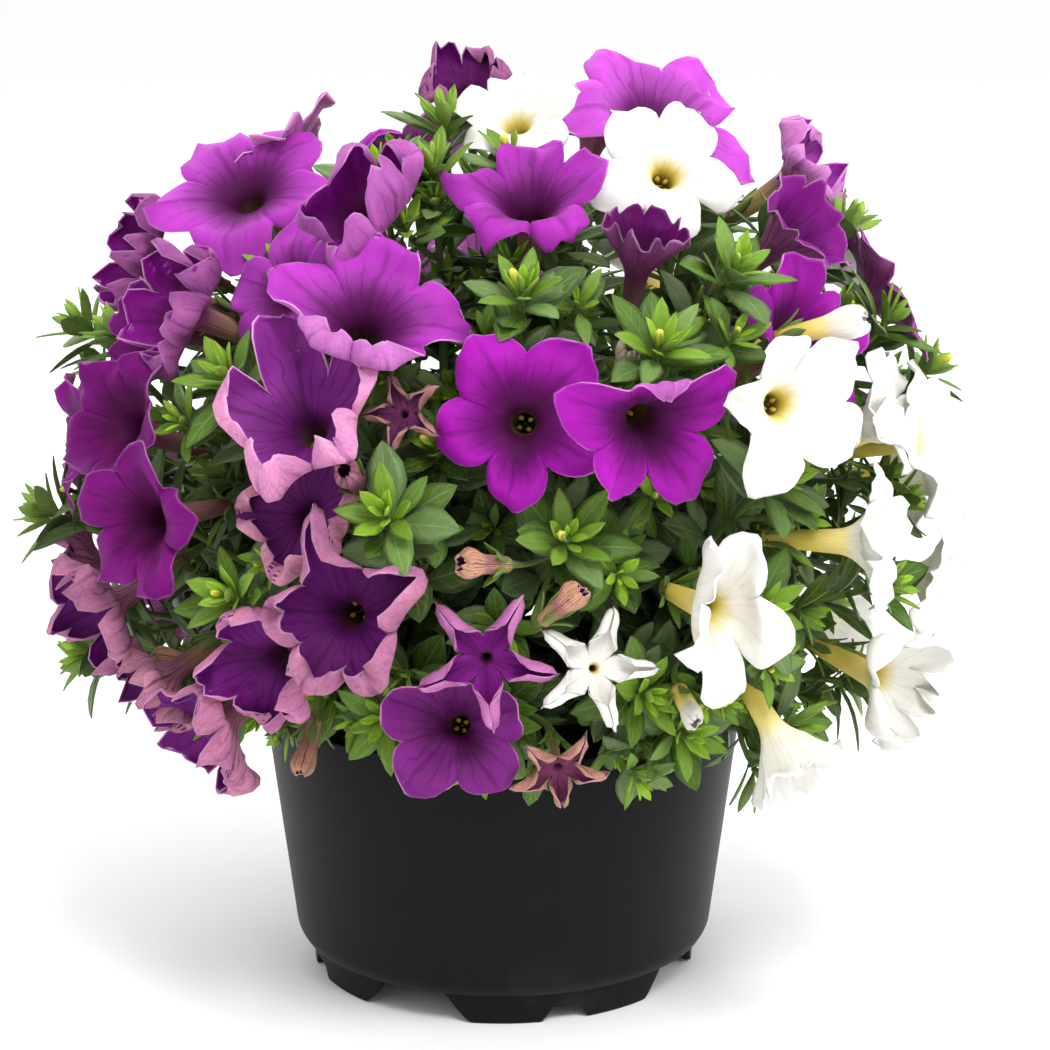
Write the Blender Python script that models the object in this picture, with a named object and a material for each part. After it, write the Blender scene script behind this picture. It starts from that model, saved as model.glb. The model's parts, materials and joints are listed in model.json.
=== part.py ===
"""A calibrachoa in its black nursery pot, in metres, +Z up.

The origin lies on the table under the middle of the plant, and -Y is the side that faces the viewer.
Directions are given as an azimuth from -Y towards +X and an elevation above the horizontal, in degrees.
Two young plants share the pot: a violet one and a white one. Each has a crown at the soil, leafy shoots
that spread from it into a dome, and flowers whose stalks spring from its shoots.
"""

import math
from enum import Enum
from typing import NamedTuple

import bmesh
import bpy
from mathutils import Matrix, Vector
from mathutils.bvhtree import BVHTree

MM = 0.001
GAP = 0.3 * MM

# Pot
POT_HEIGHT = 70 * MM
RIM_RADIUS = 60 * MM
SEAM_RADIUS = 52.2 * MM
SEAM_HEIGHT = 8.4 * MM
SKIRT_RADIUS = 48.2 * MM
SKIRT_WALL = 1.8 * MM
POT_WALL = 1.3 * MM
FLOOR_THICKNESS = 1.5 * MM
EDGE_ROUND = 3.5 * MM
EDGE_INSET = 1.1 * MM
RIM_ROUND = 0.4 * MM
SKIRT_LEAN = 0.5 * MM
FLOOR_TOP = SEAM_HEIGHT + FLOOR_THICKNESS
INNER_FLOOR_RADIUS = 49 * MM
POT_SIDES = 48
FOOT_COUNT = 4
FOOT_AZIMUTH = 18.5
NOTCH_HALF_WIDTHS = (15.4 * MM, 6.4 * MM)
NOTCH_STEPS = 5
FOOT_NOTCH_HALF_WIDTHS = (6.6 * MM, 2.8 * MM)
FOOT_NOTCH_HEIGHT = 3.8 * MM
DRAIN_COUNT = 6
DRAIN_CIRCLE = 30 * MM
DRAIN_RADIUS = 3.5 * MM

# Soil
SOIL_TOP = 61 * MM
SOIL_EDGE_DROP = 2.5 * MM
SOIL_FLAT_RADIUS = 34 * MM
SOIL_SIDES = 40

# Crowns
CROWN_FOOT_RADIUS = 5.5 * MM
CROWN_TOP_RADIUS = 3.6 * MM
CROWN_HEIGHT = 19 * MM
CROWN_SIDES = 12

# Shoots
STEM_FOOT_RADIUS = 1.3 * MM
STEM_TIP_RADIUS = 0.8 * MM
STEM_SIDES = 6
STEM_SPREAD = 34 * MM
NODE_LENGTH = 2.6 * MM
LEAF_NODES = (0.46, 0.60, 0.72, 0.83, 0.92)
LEAF_LENGTH = 17 * MM
LEAF_WIDTH = 7.5 * MM
LEAF_THICKNESS = 0.9 * MM
LEAF_LEAN = 42
LEAF_STATIONS = ((0.16, 0.8 * MM, 0.5 * MM), (0.52, LEAF_WIDTH / 2, LEAF_THICKNESS / 2))
LEAF_SPARE = 0.5 * MM
BUD_LENGTH = 5 * MM

# Flowers
DOME_CENTRE = Vector((0, 0, 111 * MM))
STALK_RADIUS = 0.7 * MM
STALK_LENGTH = 19 * MM
STALK_SPACING = 5 * MM
STALK_STRAIGHTNESS = 12 * MM
STALK_SIDES = 5
CALYX_RADIUS = 2.4 * MM
TUBE_RADIUS = 2.7 * MM
PETAL_THICKNESS = 0.9 * MM
TUBE_DEPTH = 0.58
TWIST_STEP = 41


class Plant(Enum):
    """The two plants in the pot, each with the place of its crown on the soil."""

    VIOLET = (-14 * MM, 2 * MM)
    WHITE = (20 * MM, -3 * MM)


class Form(NamedTuple):
    """How far a corolla has opened: its edge's radius and height as shares of the open width, and the
    notch between two lobes as a share of the edge's radius."""

    spread: float
    rise: float
    notch: float


OPEN = Form(0.50, 0.04, 0.86)
CUPPED = Form(0.35, 0.26, 0.86)
FOLDED = Form(0.42, 0.15, 0.74)
STAR = Form(0.46, 0.03, 0.42)


class Shoot(NamedTuple):
    """A leafy shoot: its plant, its tip's azimuth, elevation and distance from the dome's centre in mm,
    the height in mm at which it leaves the crown, and the elevation in which it sets out."""

    plant: Plant
    azimuth: float
    elevation: float
    reach: float
    leave: float
    climb: float


class Flower(NamedTuple):
    """A flower: its plant, the azimuth, elevation and reach in mm of its mouth from the dome's centre,
    the azimuth and elevation that it faces, its open width in mm and its form."""

    plant: Plant
    azimuth: float
    elevation: float
    reach: float
    face_azimuth: float
    face_elevation: float
    width: float
    form: Form


SHOOTS = (
    Shoot(Plant.VIOLET, 4, 44, 103, 74, 60),
    Shoot(Plant.VIOLET, 23, 34, 109, 71, 45),
    Shoot(Plant.VIOLET, 41, 43, 110, 78, 50),
    Shoot(Plant.VIOLET, 98, 47, 102, 79, 58),
    Shoot(Plant.VIOLET, -14, 15, 104, 68, 40),
    Shoot(Plant.VIOLET, -44, 30, 102, 74, 48),
    Shoot(Plant.VIOLET, -36, 63, 105, 78, 68),
    Shoot(Plant.VIOLET, -38, 2, 98, 66, 40),
    Shoot(Plant.VIOLET, -84, 29, 108, 70, 46),
    Shoot(Plant.VIOLET, -20, -19, 82, 64, 42),
    Shoot(Plant.VIOLET, 160, 42, 104, 76, 52),
    Shoot(Plant.VIOLET, 200, 4, 104, 67, 38),
    Shoot(Plant.VIOLET, 245, 28, 106, 73, 48),
    Shoot(Plant.WHITE, 42, 17, 98, 70, 42),
    Shoot(Plant.WHITE, 31, -21, 88, 66, 40),
    Shoot(Plant.WHITE, 78, 31, 111, 75, 50),
    Shoot(Plant.WHITE, 122, 14, 106, 71, 42),
    Shoot(Plant.WHITE, 50, 77, 88, 79, 76),
)

FLOWERS = (
    Flower(Plant.VIOLET, 3, 27, 98, -6, 12, 38, OPEN),
    Flower(Plant.VIOLET, 19, 25, 108, 25, -8, 40, OPEN),
    Flower(Plant.VIOLET, 100, 69, 107, 60, 70, 44, OPEN),
    Flower(Plant.VIOLET, 8, 62, 98, 0, 60, 38, OPEN),
    Flower(Plant.VIOLET, 28, 49, 100, 20, 70, 28, CUPPED),
    Flower(Plant.VIOLET, -130, 84, 110, -20, 75, 30, CUPPED),
    Flower(Plant.VIOLET, -80, 54, 108, -60, 50, 40, OPEN),
    Flower(Plant.VIOLET, -94, 37, 110, -100, 15, 30, FOLDED),
    Flower(Plant.VIOLET, -73, 38, 101, -88, 20, 24, CUPPED),
    Flower(Plant.VIOLET, -30, 55, 104, -10, 60, 34, FOLDED),
    Flower(Plant.VIOLET, -22, 40, 102, -5, 40, 40, OPEN),
    Flower(Plant.VIOLET, -27, 27, 106, -30, 15, 40, FOLDED),
    Flower(Plant.VIOLET, -63, 22, 104, -70, 25, 32, OPEN),
    Flower(Plant.VIOLET, -51, 8, 105, -45, -5, 34, OPEN),
    Flower(Plant.VIOLET, -65, -4, 105, -78, -30, 34, FOLDED),
    Flower(Plant.VIOLET, -28, 14, 95, -40, 25, 28, FOLDED),
    Flower(Plant.VIOLET, -19, 2, 104, -20, 5, 38, OPEN),
    Flower(Plant.VIOLET, -37, -10, 93, -50, -28, 30, FOLDED),
    Flower(Plant.VIOLET, -45, -19, 98, -60, -40, 32, FOLDED),
    Flower(Plant.VIOLET, -2, -4, 89, -3, 0, 32, STAR),
    Flower(Plant.VIOLET, -8, -21, 86, -10, -40, 34, FOLDED),
    Flower(Plant.VIOLET, 68, 47, 103, 75, 45, 36, CUPPED),
    Flower(Plant.VIOLET, 88, 33, 114, 95, 0, 34, FOLDED),
    Flower(Plant.VIOLET, 56, 36, 99, 42, 33, 37, OPEN),
    Flower(Plant.VIOLET, 185, 28, 106, 185, 25, 38, OPEN),
    Flower(Plant.VIOLET, 229, 0, 106, 229, 0, 36, OPEN),
    Flower(Plant.WHITE, 45, 60, 108, 10, 45, 34, OPEN),
    Flower(Plant.WHITE, 10, 80, 105, -20, 70, 30, OPEN),
    Flower(Plant.WHITE, 37, 25, 113, 30, 12, 36, OPEN),
    Flower(Plant.WHITE, 27, 2, 103, 25, 0, 38, OPEN),
    Flower(Plant.WHITE, 13, -5, 93, 8, 10, 28, STAR),
    Flower(Plant.WHITE, 51, 7, 106, 80, -5, 34, OPEN),
    Flower(Plant.WHITE, 42, -19, 100, 50, -50, 34, CUPPED),
    Flower(Plant.WHITE, 62, -14, 106, 60, -20, 36, FOLDED),
    Flower(Plant.WHITE, 78, 15, 107, 90, 15, 34, OPEN),
    Flower(Plant.WHITE, 79, -4, 106, 90, -8, 32, OPEN),
    Flower(Plant.WHITE, 112, 38, 106, 112, 35, 36, OPEN),
    Flower(Plant.WHITE, 142, -4, 106, 142, -5, 36, OPEN),
)


def clear_scene():
    for obj in list(bpy.data.objects):
        bpy.data.objects.remove(obj)


def material(name, color, roughness):
    made = bpy.data.materials.new(name)
    made.use_nodes = True
    shader = made.node_tree.nodes["Principled BSDF"]
    shader.inputs["Base Color"].default_value = (*color, 1)
    shader.inputs["Roughness"].default_value = roughness
    shader.inputs["Metallic"].default_value = 0
    return made


def add_object(name, mesh_data, finish):
    """Puts a finished bmesh in the scene as a smooth-shaded object with its faces turned outwards."""
    bmesh.ops.recalc_face_normals(mesh_data, faces=mesh_data.faces)
    mesh = bpy.data.meshes.new(name)
    mesh_data.to_mesh(mesh)
    mesh_data.free()
    mesh.materials.append(finish)
    mesh.shade_smooth()
    mesh.set_sharp_from_angle(angle=math.radians(40))
    made = bpy.data.objects.new(name, mesh)
    bpy.context.scene.collection.objects.link(made)
    return made


def heading(azimuth, elevation):
    """The unit vector of an azimuth and an elevation in degrees."""
    around = math.radians(azimuth)
    up = math.radians(elevation)
    return Vector((math.sin(around) * math.cos(up), -math.cos(around) * math.cos(up), math.sin(up)))


def level_side(axis):
    """A level unit vector square to an axis."""
    side = axis.cross(Vector((0, 0, 1)))
    return side.normalized() if side.length > 0.05 else Vector((1, 0, 0))


def bezier(points, share):
    """The point and the tangent of a cubic curve at a share of its run."""
    rest = 1 - share
    a, b, c, d = points
    place = a * rest**3 + b * 3 * rest**2 * share + c * 3 * rest * share**2 + d * share**3
    tangent = (b - a) * rest**2 + (c - b) * 2 * rest * share + (d - c) * share**2
    return place, tangent.normalized()


class Shell:
    """A surface as it is built up: its corners and the faces between them."""

    def __init__(self):
        self.corners = []
        self.faces = []

    def loop(self, places):
        """Adds corners and gives their numbers."""
        start = len(self.corners)
        self.corners.extend(places)
        return list(range(start, len(self.corners)))

    def join(self, first, second):
        """Adds the faces between two loops. The second has as many corners as the first, or twice as many."""
        for index, corner in enumerate(first):
            after = (index + 1) % len(first)
            if len(second) == len(first):
                self.faces.append((corner, first[after], second[after], second[index]))
            else:
                middle = second[2 * index + 1]
                self.faces.append((corner, middle, second[2 * index]))
                self.faces.append((corner, first[after], second[2 * after], middle))

    def close(self, loop):
        self.faces.append(tuple(loop))

    def tree(self):
        return BVHTree.FromPolygons(self.corners, self.faces)

    def bmesh(self):
        made = bmesh.new()
        verts = [made.verts.new(corner) for corner in self.corners]
        for face in self.faces:
            made.faces.new([verts[corner] for corner in face])
        return made


def circle(centre, axis, side, radii, twist=0.0):
    """Places round an axis, one for each radius, counted from a side direction."""
    across_side = axis.cross(side)
    made = []
    for index, radius in enumerate(radii):
        angle = 2 * math.pi * index / len(radii) + twist
        made.append(centre + (side * math.cos(angle) + across_side * math.sin(angle)) * radius)
    return made


def carried(side, axis):
    """A side direction turned as little as it can be to stand square to a new axis."""
    return (side - axis * side.dot(axis)).normalized()


def turned(profile, sides):
    """A closed solid of revolution about Z, from (radius, height) points that start and end on the axis."""
    mesh_data = bmesh.new()
    verts = [mesh_data.verts.new((radius, 0, height)) for radius, height in profile]
    edges = [mesh_data.edges.new(pair) for pair in zip(verts, verts[1:])]
    bmesh.ops.spin(
        mesh_data,
        geom=verts + edges,
        cent=(0, 0, 0),
        axis=(0, 0, 1),
        angle=2 * math.pi,
        steps=sides,
        use_merge=True,
    )
    bmesh.ops.remove_doubles(mesh_data, verts=mesh_data.verts, dist=0.01 * MM)
    return mesh_data


def wall_radius(height):
    """The pot's outer radius on its straight wall."""
    share = (height - SEAM_HEIGHT) / (POT_HEIGHT - SEAM_HEIGHT)
    return SEAM_RADIUS + (RIM_RADIUS - SEAM_RADIUS) * share


def eased(share):
    """A share from 0 to 1 that starts and ends level."""
    return share * share * (3 - 2 * share)


def notch_outline(half_widths, height):
    """The outline of a notch in the skirt: wide at the table, narrow above, with flowing corners."""
    half_foot, half_top = half_widths
    flank = []
    for step in range(NOTCH_STEPS + 1):
        share = step / NOTCH_STEPS
        flank.append((half_foot + (half_top - half_foot) * share, height * eased(share)))
    left = [(-x, z) for x, z in reversed(flank)]
    below = -2 * MM
    return [(half_foot, below), *flank, *left, (-half_foot, below)]


def add_radial_prism(shell, outline, azimuth):
    """Extrudes an outline of (across, height) points outwards through the skirt at an azimuth."""
    outwards = heading(azimuth, 0)
    sideways = Vector((0, 0, 1)).cross(outwards)
    loops = []
    for distance in (SKIRT_RADIUS - 8 * MM, SKIRT_RADIUS + 6 * MM):
        places = [outwards * distance + sideways * x + Vector((0, 0, z)) for x, z in outline]
        loops.append(shell.loop(places))
    shell.join(*loops)
    shell.close(loops[0])
    shell.close(loops[1])


def make_pot_cutter():
    """One mesh with the wide notches between the feet, a small notch in each foot and the drains."""
    shell = Shell()
    between_feet = notch_outline(NOTCH_HALF_WIDTHS, SEAM_HEIGHT - GAP)
    in_foot = notch_outline(FOOT_NOTCH_HALF_WIDTHS, FOOT_NOTCH_HEIGHT)
    turn = 360 / FOOT_COUNT
    for index in range(FOOT_COUNT):
        add_radial_prism(shell, between_feet, FOOT_AZIMUTH + turn * (index + 0.5))
        add_radial_prism(shell, in_foot, FOOT_AZIMUTH + turn * index)
    mesh_data = shell.bmesh()
    for index in range(DRAIN_COUNT):
        spot = heading(360 * index / DRAIN_COUNT, 0) * DRAIN_CIRCLE + Vector((0, 0, SEAM_HEIGHT))
        bmesh.ops.create_cone(
            mesh_data,
            cap_ends=True,
            segments=12,
            radius1=DRAIN_RADIUS,
            radius2=DRAIN_RADIUS,
            depth=4 * FLOOR_THICKNESS,
            matrix=Matrix.Translation(spot),
        )
    cutter = add_object("pot_cutter", mesh_data, material("cutter", (1, 0, 0), 0.5))
    cutter.hide_render = True
    cutter.display_type = "WIRE"
    return cutter


def make_pot():
    """The pot: a tapered wall with a rounded lower edge, a raised floor and a skirt cut into four feet."""
    edge_top = SEAM_HEIGHT + EDGE_ROUND
    rounding = []
    for share in (0, 0.4, 0.75, 1):
        inset = EDGE_INSET * share**2
        height = edge_top - EDGE_ROUND * share
        rounding.append((wall_radius(height) - inset, height))
    skirt_inner = SKIRT_RADIUS - SKIRT_WALL
    under = [(0, SEAM_HEIGHT), (skirt_inner, SEAM_HEIGHT), (skirt_inner, 0), (SKIRT_RADIUS, 0)]
    step = [(SKIRT_RADIUS + SKIRT_LEAN, SEAM_HEIGHT)]
    rim = [(RIM_RADIUS, POT_HEIGHT - RIM_ROUND), (RIM_RADIUS - RIM_ROUND, POT_HEIGHT)]
    outside = [*reversed(rounding), *rim]
    inside = [
        (RIM_RADIUS - POT_WALL, POT_HEIGHT),
        (wall_radius(edge_top) - POT_WALL, edge_top),
        (INNER_FLOOR_RADIUS, FLOOR_TOP),
        (0, FLOOR_TOP),
    ]
    mesh_data = turned(under + step + outside + inside, POT_SIDES)
    pot = add_object("pot", mesh_data, material("black_plastic", (0.02, 0.02, 0.022), 0.38))
    cut = pot.modifiers.new("feet_and_drains", "BOOLEAN")
    cut.operation = "DIFFERENCE"
    cut.solver = "EXACT"
    cut.object = make_pot_cutter()
    return pot


def make_soil():
    """The root ball: it fills the pot to just under the rim, with a level middle and a sunken edge."""
    edge_top = SEAM_HEIGHT + EDGE_ROUND
    edge_height = SOIL_TOP - SOIL_EDGE_DROP
    clear = POT_WALL + GAP
    profile = [
        (0, FLOOR_TOP + GAP),
        (INNER_FLOOR_RADIUS - GAP, FLOOR_TOP + GAP),
        (wall_radius(edge_top) - clear, edge_top + GAP),
        (wall_radius(edge_height) - clear, edge_height),
        (SOIL_FLAT_RADIUS, SOIL_TOP),
        (0, SOIL_TOP),
    ]
    mesh_data = turned(profile, SOIL_SIDES)
    return add_object("soil", mesh_data, material("potting_soil", (0.035, 0.02, 0.012), 0.95))


def crown_radius(height):
    """A crown's radius at a height above the table."""
    share = (height - SOIL_TOP) / CROWN_HEIGHT
    return CROWN_FOOT_RADIUS + (CROWN_TOP_RADIUS - CROWN_FOOT_RADIUS) * share


def make_crown(plant, finish):
    """The short woody crown of a plant, standing on the soil."""
    top = SOIL_TOP + CROWN_HEIGHT
    profile = [
        (0, SOIL_TOP + GAP),
        (CROWN_FOOT_RADIUS, SOIL_TOP + GAP),
        (CROWN_TOP_RADIUS, top),
        (CROWN_TOP_RADIUS * 0.5, top + 1.5 * MM),
        (0, top + 1.8 * MM),
    ]
    mesh_data = turned(profile, CROWN_SIDES)
    bmesh.ops.translate(mesh_data, verts=mesh_data.verts, vec=Vector((*plant.value, 0)))
    return add_object(f"crown_{plant.name.lower()}", mesh_data, finish)


def stem_curve(shoot):
    """The cubic curve of a shoot's stem, from the side of its crown to its tip in the dome."""
    tip = DOME_CENTRE + heading(shoot.azimuth, shoot.elevation) * shoot.reach * MM
    root = Vector((*shoot.plant.value, shoot.leave * MM))
    outwards = (tip - root) * Vector((1, 1, 0))
    outwards.normalize()
    climb = math.radians(shoot.climb)
    away = crown_radius(root.z) + GAP + STEM_FOOT_RADIUS * math.sin(climb)
    start = root + outwards * away
    setting_out = outwards * math.cos(climb) + Vector((0, 0, math.sin(climb)))
    at_tip = (heading(shoot.azimuth, shoot.elevation) + Vector((0, 0, 0.35))).normalized()
    return start, start + setting_out * STEM_SPREAD, tip - at_tip * STEM_SPREAD, tip


def stem_radius(share):
    return STEM_FOOT_RADIUS + (STEM_TIP_RADIUS - STEM_FOOT_RADIUS) * share


def flower_frame(flower):
    """The mouth's centre, the direction that the flower faces and the foot of its calyx."""
    mouth = DOME_CENTRE + heading(flower.azimuth, flower.elevation) * flower.reach * MM
    facing = heading(flower.face_azimuth, flower.face_elevation)
    return mouth, facing, mouth - facing * flower.width * MM * TUBE_DEPTH


def stalk_curve(flower, taken):
    """The curve of a flower's stalk. It springs from the stem of its own plant that lets it be about
    STALK_LENGTH long and run the way the flower faces, at a place that no other stalk has taken."""
    _, facing, calyx = flower_frame(flower)
    best = None
    for shoot in SHOOTS:
        if shoot.plant is not flower.plant:
            continue
        curve = stem_curve(shoot)
        for step in range(6, 20):
            place, tangent = bezier(curve, step / 20)
            if any((place - other).length < STALK_SPACING for other in taken):
                continue
            reach = calyx - place
            off_length = abs(reach.length - STALK_LENGTH)
            off_course = 1 - reach.normalized().dot(facing)
            cost = off_length + STALK_STRAIGHTNESS * off_course
            if best is None or cost < best[0]:
                best = (cost, place, tangent, stem_radius(step / 20))
    _, place, tangent, radius = best
    taken.append(place)
    spoke = calyx - place
    spoke = (spoke - tangent * spoke.dot(tangent)).normalized()
    start = place + spoke * (radius + GAP)
    bend = (calyx - start).length * 0.4
    return start, start + spoke * bend, calyx - facing * bend, calyx


def corolla_rings(flower):
    """The (height, lobe radius, notch radius) loops of a flower, up its outside and down into its throat."""
    width = flower.width * MM
    form = flower.form
    edge = width * form.spread
    rise = width * form.rise
    half = PETAL_THICKNESS / 2
    throat = min(0.13 * width, edge * 0.75)
    return [
        (-0.48 * width, CALYX_RADIUS, CALYX_RADIUS),
        (-0.30 * width, TUBE_RADIUS, TUBE_RADIUS),
        (-0.09 * width, throat, throat * 0.95),
        (rise - half, edge, edge * form.notch),
        (rise + half, edge - half, (edge - half) * form.notch),
        (-0.03 * width, throat * 0.72, throat * 0.68),
        (-0.24 * width, TUBE_RADIUS * 0.5, TUBE_RADIUS * 0.5),
    ]


def flower_shell(flower, curve, twist):
    """One flower as a single closed surface: stalk, calyx, tube, five lobes and an open throat."""
    shell = Shell()
    mouth, facing, _ = flower_frame(flower)
    side = level_side(facing)
    stalk = []
    for share in (1, 0.5, 0):
        place, tangent = bezier(curve, share)
        side = carried(side, tangent)
        radius = STALK_RADIUS * (1.6 if share == 1 else 1)
        stalk.append(circle(place, tangent, side, [radius] * STALK_SIDES, twist))
    loops = [shell.loop(places) for places in reversed(stalk)]
    side = level_side(facing)
    for height, lobe, notch in corolla_rings(flower):
        radii = [lobe, notch] * STALK_SIDES
        loops.append(shell.loop(circle(mouth + facing * height, facing, side, radii, twist)))
    for first, second in zip(loops, loops[1:]):
        shell.join(first, second)
    shell.close(loops[0])
    shell.close(loops[-1])
    return shell


class Leaf:
    """A leaf that stands on one side of a stem and leans forwards along it: a flat diamond on a short
    petiole. LEAF_STATIONS gives its half width and half thickness at two shares of its length."""

    def __init__(self, centre, outwards, forwards, size):
        lean = math.radians(LEAF_LEAN)
        self.along = outwards * math.cos(lean) + forwards * math.sin(lean)
        self.side = forwards.cross(outwards).normalized()
        self.face = self.along.cross(self.side).normalized()
        self.centre = centre
        self.length = LEAF_LENGTH * size

    def loops(self, spare=0.0):
        """Its loops of four places past the foot, and its tip, made larger all round by a spare margin."""
        made = []
        for share, half_width, half_depth in LEAF_STATIONS:
            place = self.centre + self.along * self.length * share
            wide = self.side * (half_width + spare)
            deep = self.face * (half_depth + spare)
            made.append([place - wide - deep, place + wide - deep, place + wide + deep, place - wide + deep])
        return made, self.centre + self.along * (self.length + spare)

    def add_to(self, shell, foot, spare=0.0):
        loops, tip = self.loops(spare)
        for places in loops:
            after = shell.loop(places)
            shell.join(foot, after)
            foot = after
        point = shell.loop([tip])[0]
        for index in range(4):
            shell.faces.append((foot[index], foot[(index + 1) % 4], point))

    def clear_of(self, trees):
        """Whether the leaf, with room to spare, misses everything else."""
        probe = Shell()
        start = self.centre + self.along * 0.8 * MM
        foot = [start - self.side * MM, start + self.side * MM, start + self.side * MM, start - self.side * MM]
        self.add_to(probe, probe.loop(foot), LEAF_SPARE)
        tree = probe.tree()
        return not any(tree.overlap(other) for other in trees)


def stem_stations(curve):
    """The (share, place, tangent, side, radius) stations along a stem. Each leaf node has two of them,
    NODE_LENGTH apart."""
    length = (curve[3] - curve[0]).length * 1.1
    half_node = NODE_LENGTH / length / 2
    shares = [0, 0.14, 0.28]
    for node in LEAF_NODES:
        shares += [node - half_node, node + half_node]
    shares.append(1)
    stations = []
    side = level_side(bezier(curve, 0)[1])
    for share in shares:
        place, tangent = bezier(curve, share)
        side = carried(side, tangent)
        stations.append((share, place, tangent, side, stem_radius(share)))
    return stations


def stem_loops(shell, stations):
    """The loops of a stem from its foot to the bud at its tip."""
    loops = []
    for _, place, tangent, side, radius in stations:
        loops.append(shell.loop(circle(place, tangent, side, [radius] * STEM_SIDES)))
    _, tip, tangent, side, radius = stations[-1]
    for share, swell in ((0.4, 1.9), (1, 0.8)):
        place = tip + tangent * BUD_LENGTH * share
        loops.append(shell.loop(circle(place, tangent, side, [radius * swell] * STEM_SIDES)))
    return loops


def stem_shell(shoot):
    """A bare stem, which the leaves of the other shoots keep clear of."""
    shell = Shell()
    loops = stem_loops(shell, stem_stations(stem_curve(shoot)))
    for first, second in zip(loops, loops[1:]):
        shell.join(first, second)
    return shell


def shoot_shell(shoot, others):
    """A stem with its leaves, three to a node and turned half a step at each next one. A leaf that
    would meet a neighbour is left off, and so gives way to it."""
    shell = Shell()
    stations = stem_stations(stem_curve(shoot))
    loops = stem_loops(shell, stations)
    first_node = len(stations) - 1 - 2 * len(LEAF_NODES)
    for band, (first, second) in enumerate(zip(loops, loops[1:])):
        node, between = divmod(band - first_node, 2)
        bears = 0 <= node < len(LEAF_NODES) and not between
        for face in range(STEM_SIDES):
            after = (face + 1) % STEM_SIDES
            foot = [first[face], first[after], second[after], second[face]]
            leaf = None
            if bears and face % 2 == node % 2:
                leaf = leaf_on(shell, foot, stations[band], node)
            if leaf and leaf.clear_of(others):
                leaf.add_to(shell, foot)
            else:
                shell.faces.append(tuple(foot))
    shell.close(loops[0])
    shell.close(loops[-1])
    return shell


def leaf_on(shell, foot, station, node):
    """The leaf of one side of a stem's node. Leaves get smaller towards the tip."""
    _, axis_place, tangent, _, _ = station
    centre = sum((shell.corners[number] for number in foot), Vector()) / len(foot)
    outwards = carried(centre - axis_place, tangent)
    size = 1.1 - 0.06 * node
    return Leaf(centre, outwards, tangent, size)


def tree_of(obj):
    mesh = obj.data
    return BVHTree.FromPolygons([v.co for v in mesh.vertices], [p.vertices for p in mesh.polygons])


def main():
    clear_scene()
    fixed = [tree_of(obj) for obj in (make_pot(), make_soil())]
    finishes = {
        Plant.VIOLET: material("violet_petals", (0.25, 0.02, 0.36), 0.5),
        Plant.WHITE: material("white_petals", (0.86, 0.84, 0.78), 0.5),
    }
    leaf_green = material("leaf_green", (0.07, 0.19, 0.03), 0.5)
    bark = material("crown_stem", (0.18, 0.2, 0.08), 0.7)
    fixed += [tree_of(make_crown(plant, bark)) for plant in Plant]

    counts = dict.fromkeys(Plant, 0)
    taken = []
    for flower in FLOWERS:
        counts[flower.plant] += 1
        number = counts[flower.plant]
        curve = stalk_curve(flower, taken)
        shell = flower_shell(flower, curve, math.radians(TWIST_STEP * number))
        name = f"{flower.plant.name.lower()}_flower_{number:02d}"
        add_object(name, shell.bmesh(), finishes[flower.plant])
        fixed.append(shell.tree())

    stems = [stem_shell(shoot).tree() for shoot in SHOOTS]
    counts = dict.fromkeys(Plant, 0)
    for index, shoot in enumerate(SHOOTS):
        counts[shoot.plant] += 1
        others = fixed + stems[:index] + stems[index + 1 :]
        shell = shoot_shell(shoot, others)
        name = f"{shoot.plant.name.lower()}_shoot_{counts[shoot.plant]:02d}"
        add_object(name, shell.bmesh(), leaf_green)
        stems[index] = shell.tree()


main()
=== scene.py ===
"""The looks of a calibrachoa in its black nursery pot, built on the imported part, in metres, +Z up.

The origin lies on the table under the middle of the plant, and -Y is the side that faces the viewer.
Directions are given as an azimuth from -Y towards +X and an elevation above the horizontal, in degrees.
Flowers and shoots repeat the places of the part's own nodes. More of both fill the plant between them.
"""

import json
import logging
import math
from collections.abc import Sequence
from dataclasses import dataclass, field
from enum import Enum

import bmesh
import bpy
import numpy as np
from mathutils import Matrix, Vector
from mathutils.bvhtree import BVHTree

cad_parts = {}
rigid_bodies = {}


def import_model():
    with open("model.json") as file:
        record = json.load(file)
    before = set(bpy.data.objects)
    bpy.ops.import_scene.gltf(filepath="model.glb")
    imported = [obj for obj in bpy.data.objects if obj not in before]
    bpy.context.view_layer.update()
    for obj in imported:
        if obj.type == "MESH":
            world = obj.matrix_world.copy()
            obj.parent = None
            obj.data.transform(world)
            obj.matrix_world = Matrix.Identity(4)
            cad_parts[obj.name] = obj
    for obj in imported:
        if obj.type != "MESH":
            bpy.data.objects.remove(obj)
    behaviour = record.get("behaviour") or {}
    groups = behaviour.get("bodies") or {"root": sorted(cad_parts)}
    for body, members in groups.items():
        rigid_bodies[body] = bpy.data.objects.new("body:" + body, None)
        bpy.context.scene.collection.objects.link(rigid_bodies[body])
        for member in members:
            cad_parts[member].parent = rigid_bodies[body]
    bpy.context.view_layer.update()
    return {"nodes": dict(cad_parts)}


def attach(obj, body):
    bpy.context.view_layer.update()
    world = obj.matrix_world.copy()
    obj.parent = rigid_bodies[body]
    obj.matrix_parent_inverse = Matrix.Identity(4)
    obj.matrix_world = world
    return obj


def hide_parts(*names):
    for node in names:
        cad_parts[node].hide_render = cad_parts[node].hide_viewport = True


for startup_object in list(bpy.data.objects):
    bpy.data.objects.remove(startup_object)
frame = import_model()

MM = 0.001
GAP = 0.3 * MM
TURN = 2 * math.pi
GOLDEN_TURN = TURN * (1 - 1 / 1.618034)
UP = Vector((0, 0, 1))
BODY = "root"
MAP_NAME = "surface"
TINT_NAME = "tint"

CROWN_SEED = 31
FLOWER_SEED = 1000
SHOOT_SEED = 5000
INNER_SEED = 9000

log = logging.getLogger("calibrachoa")

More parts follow.
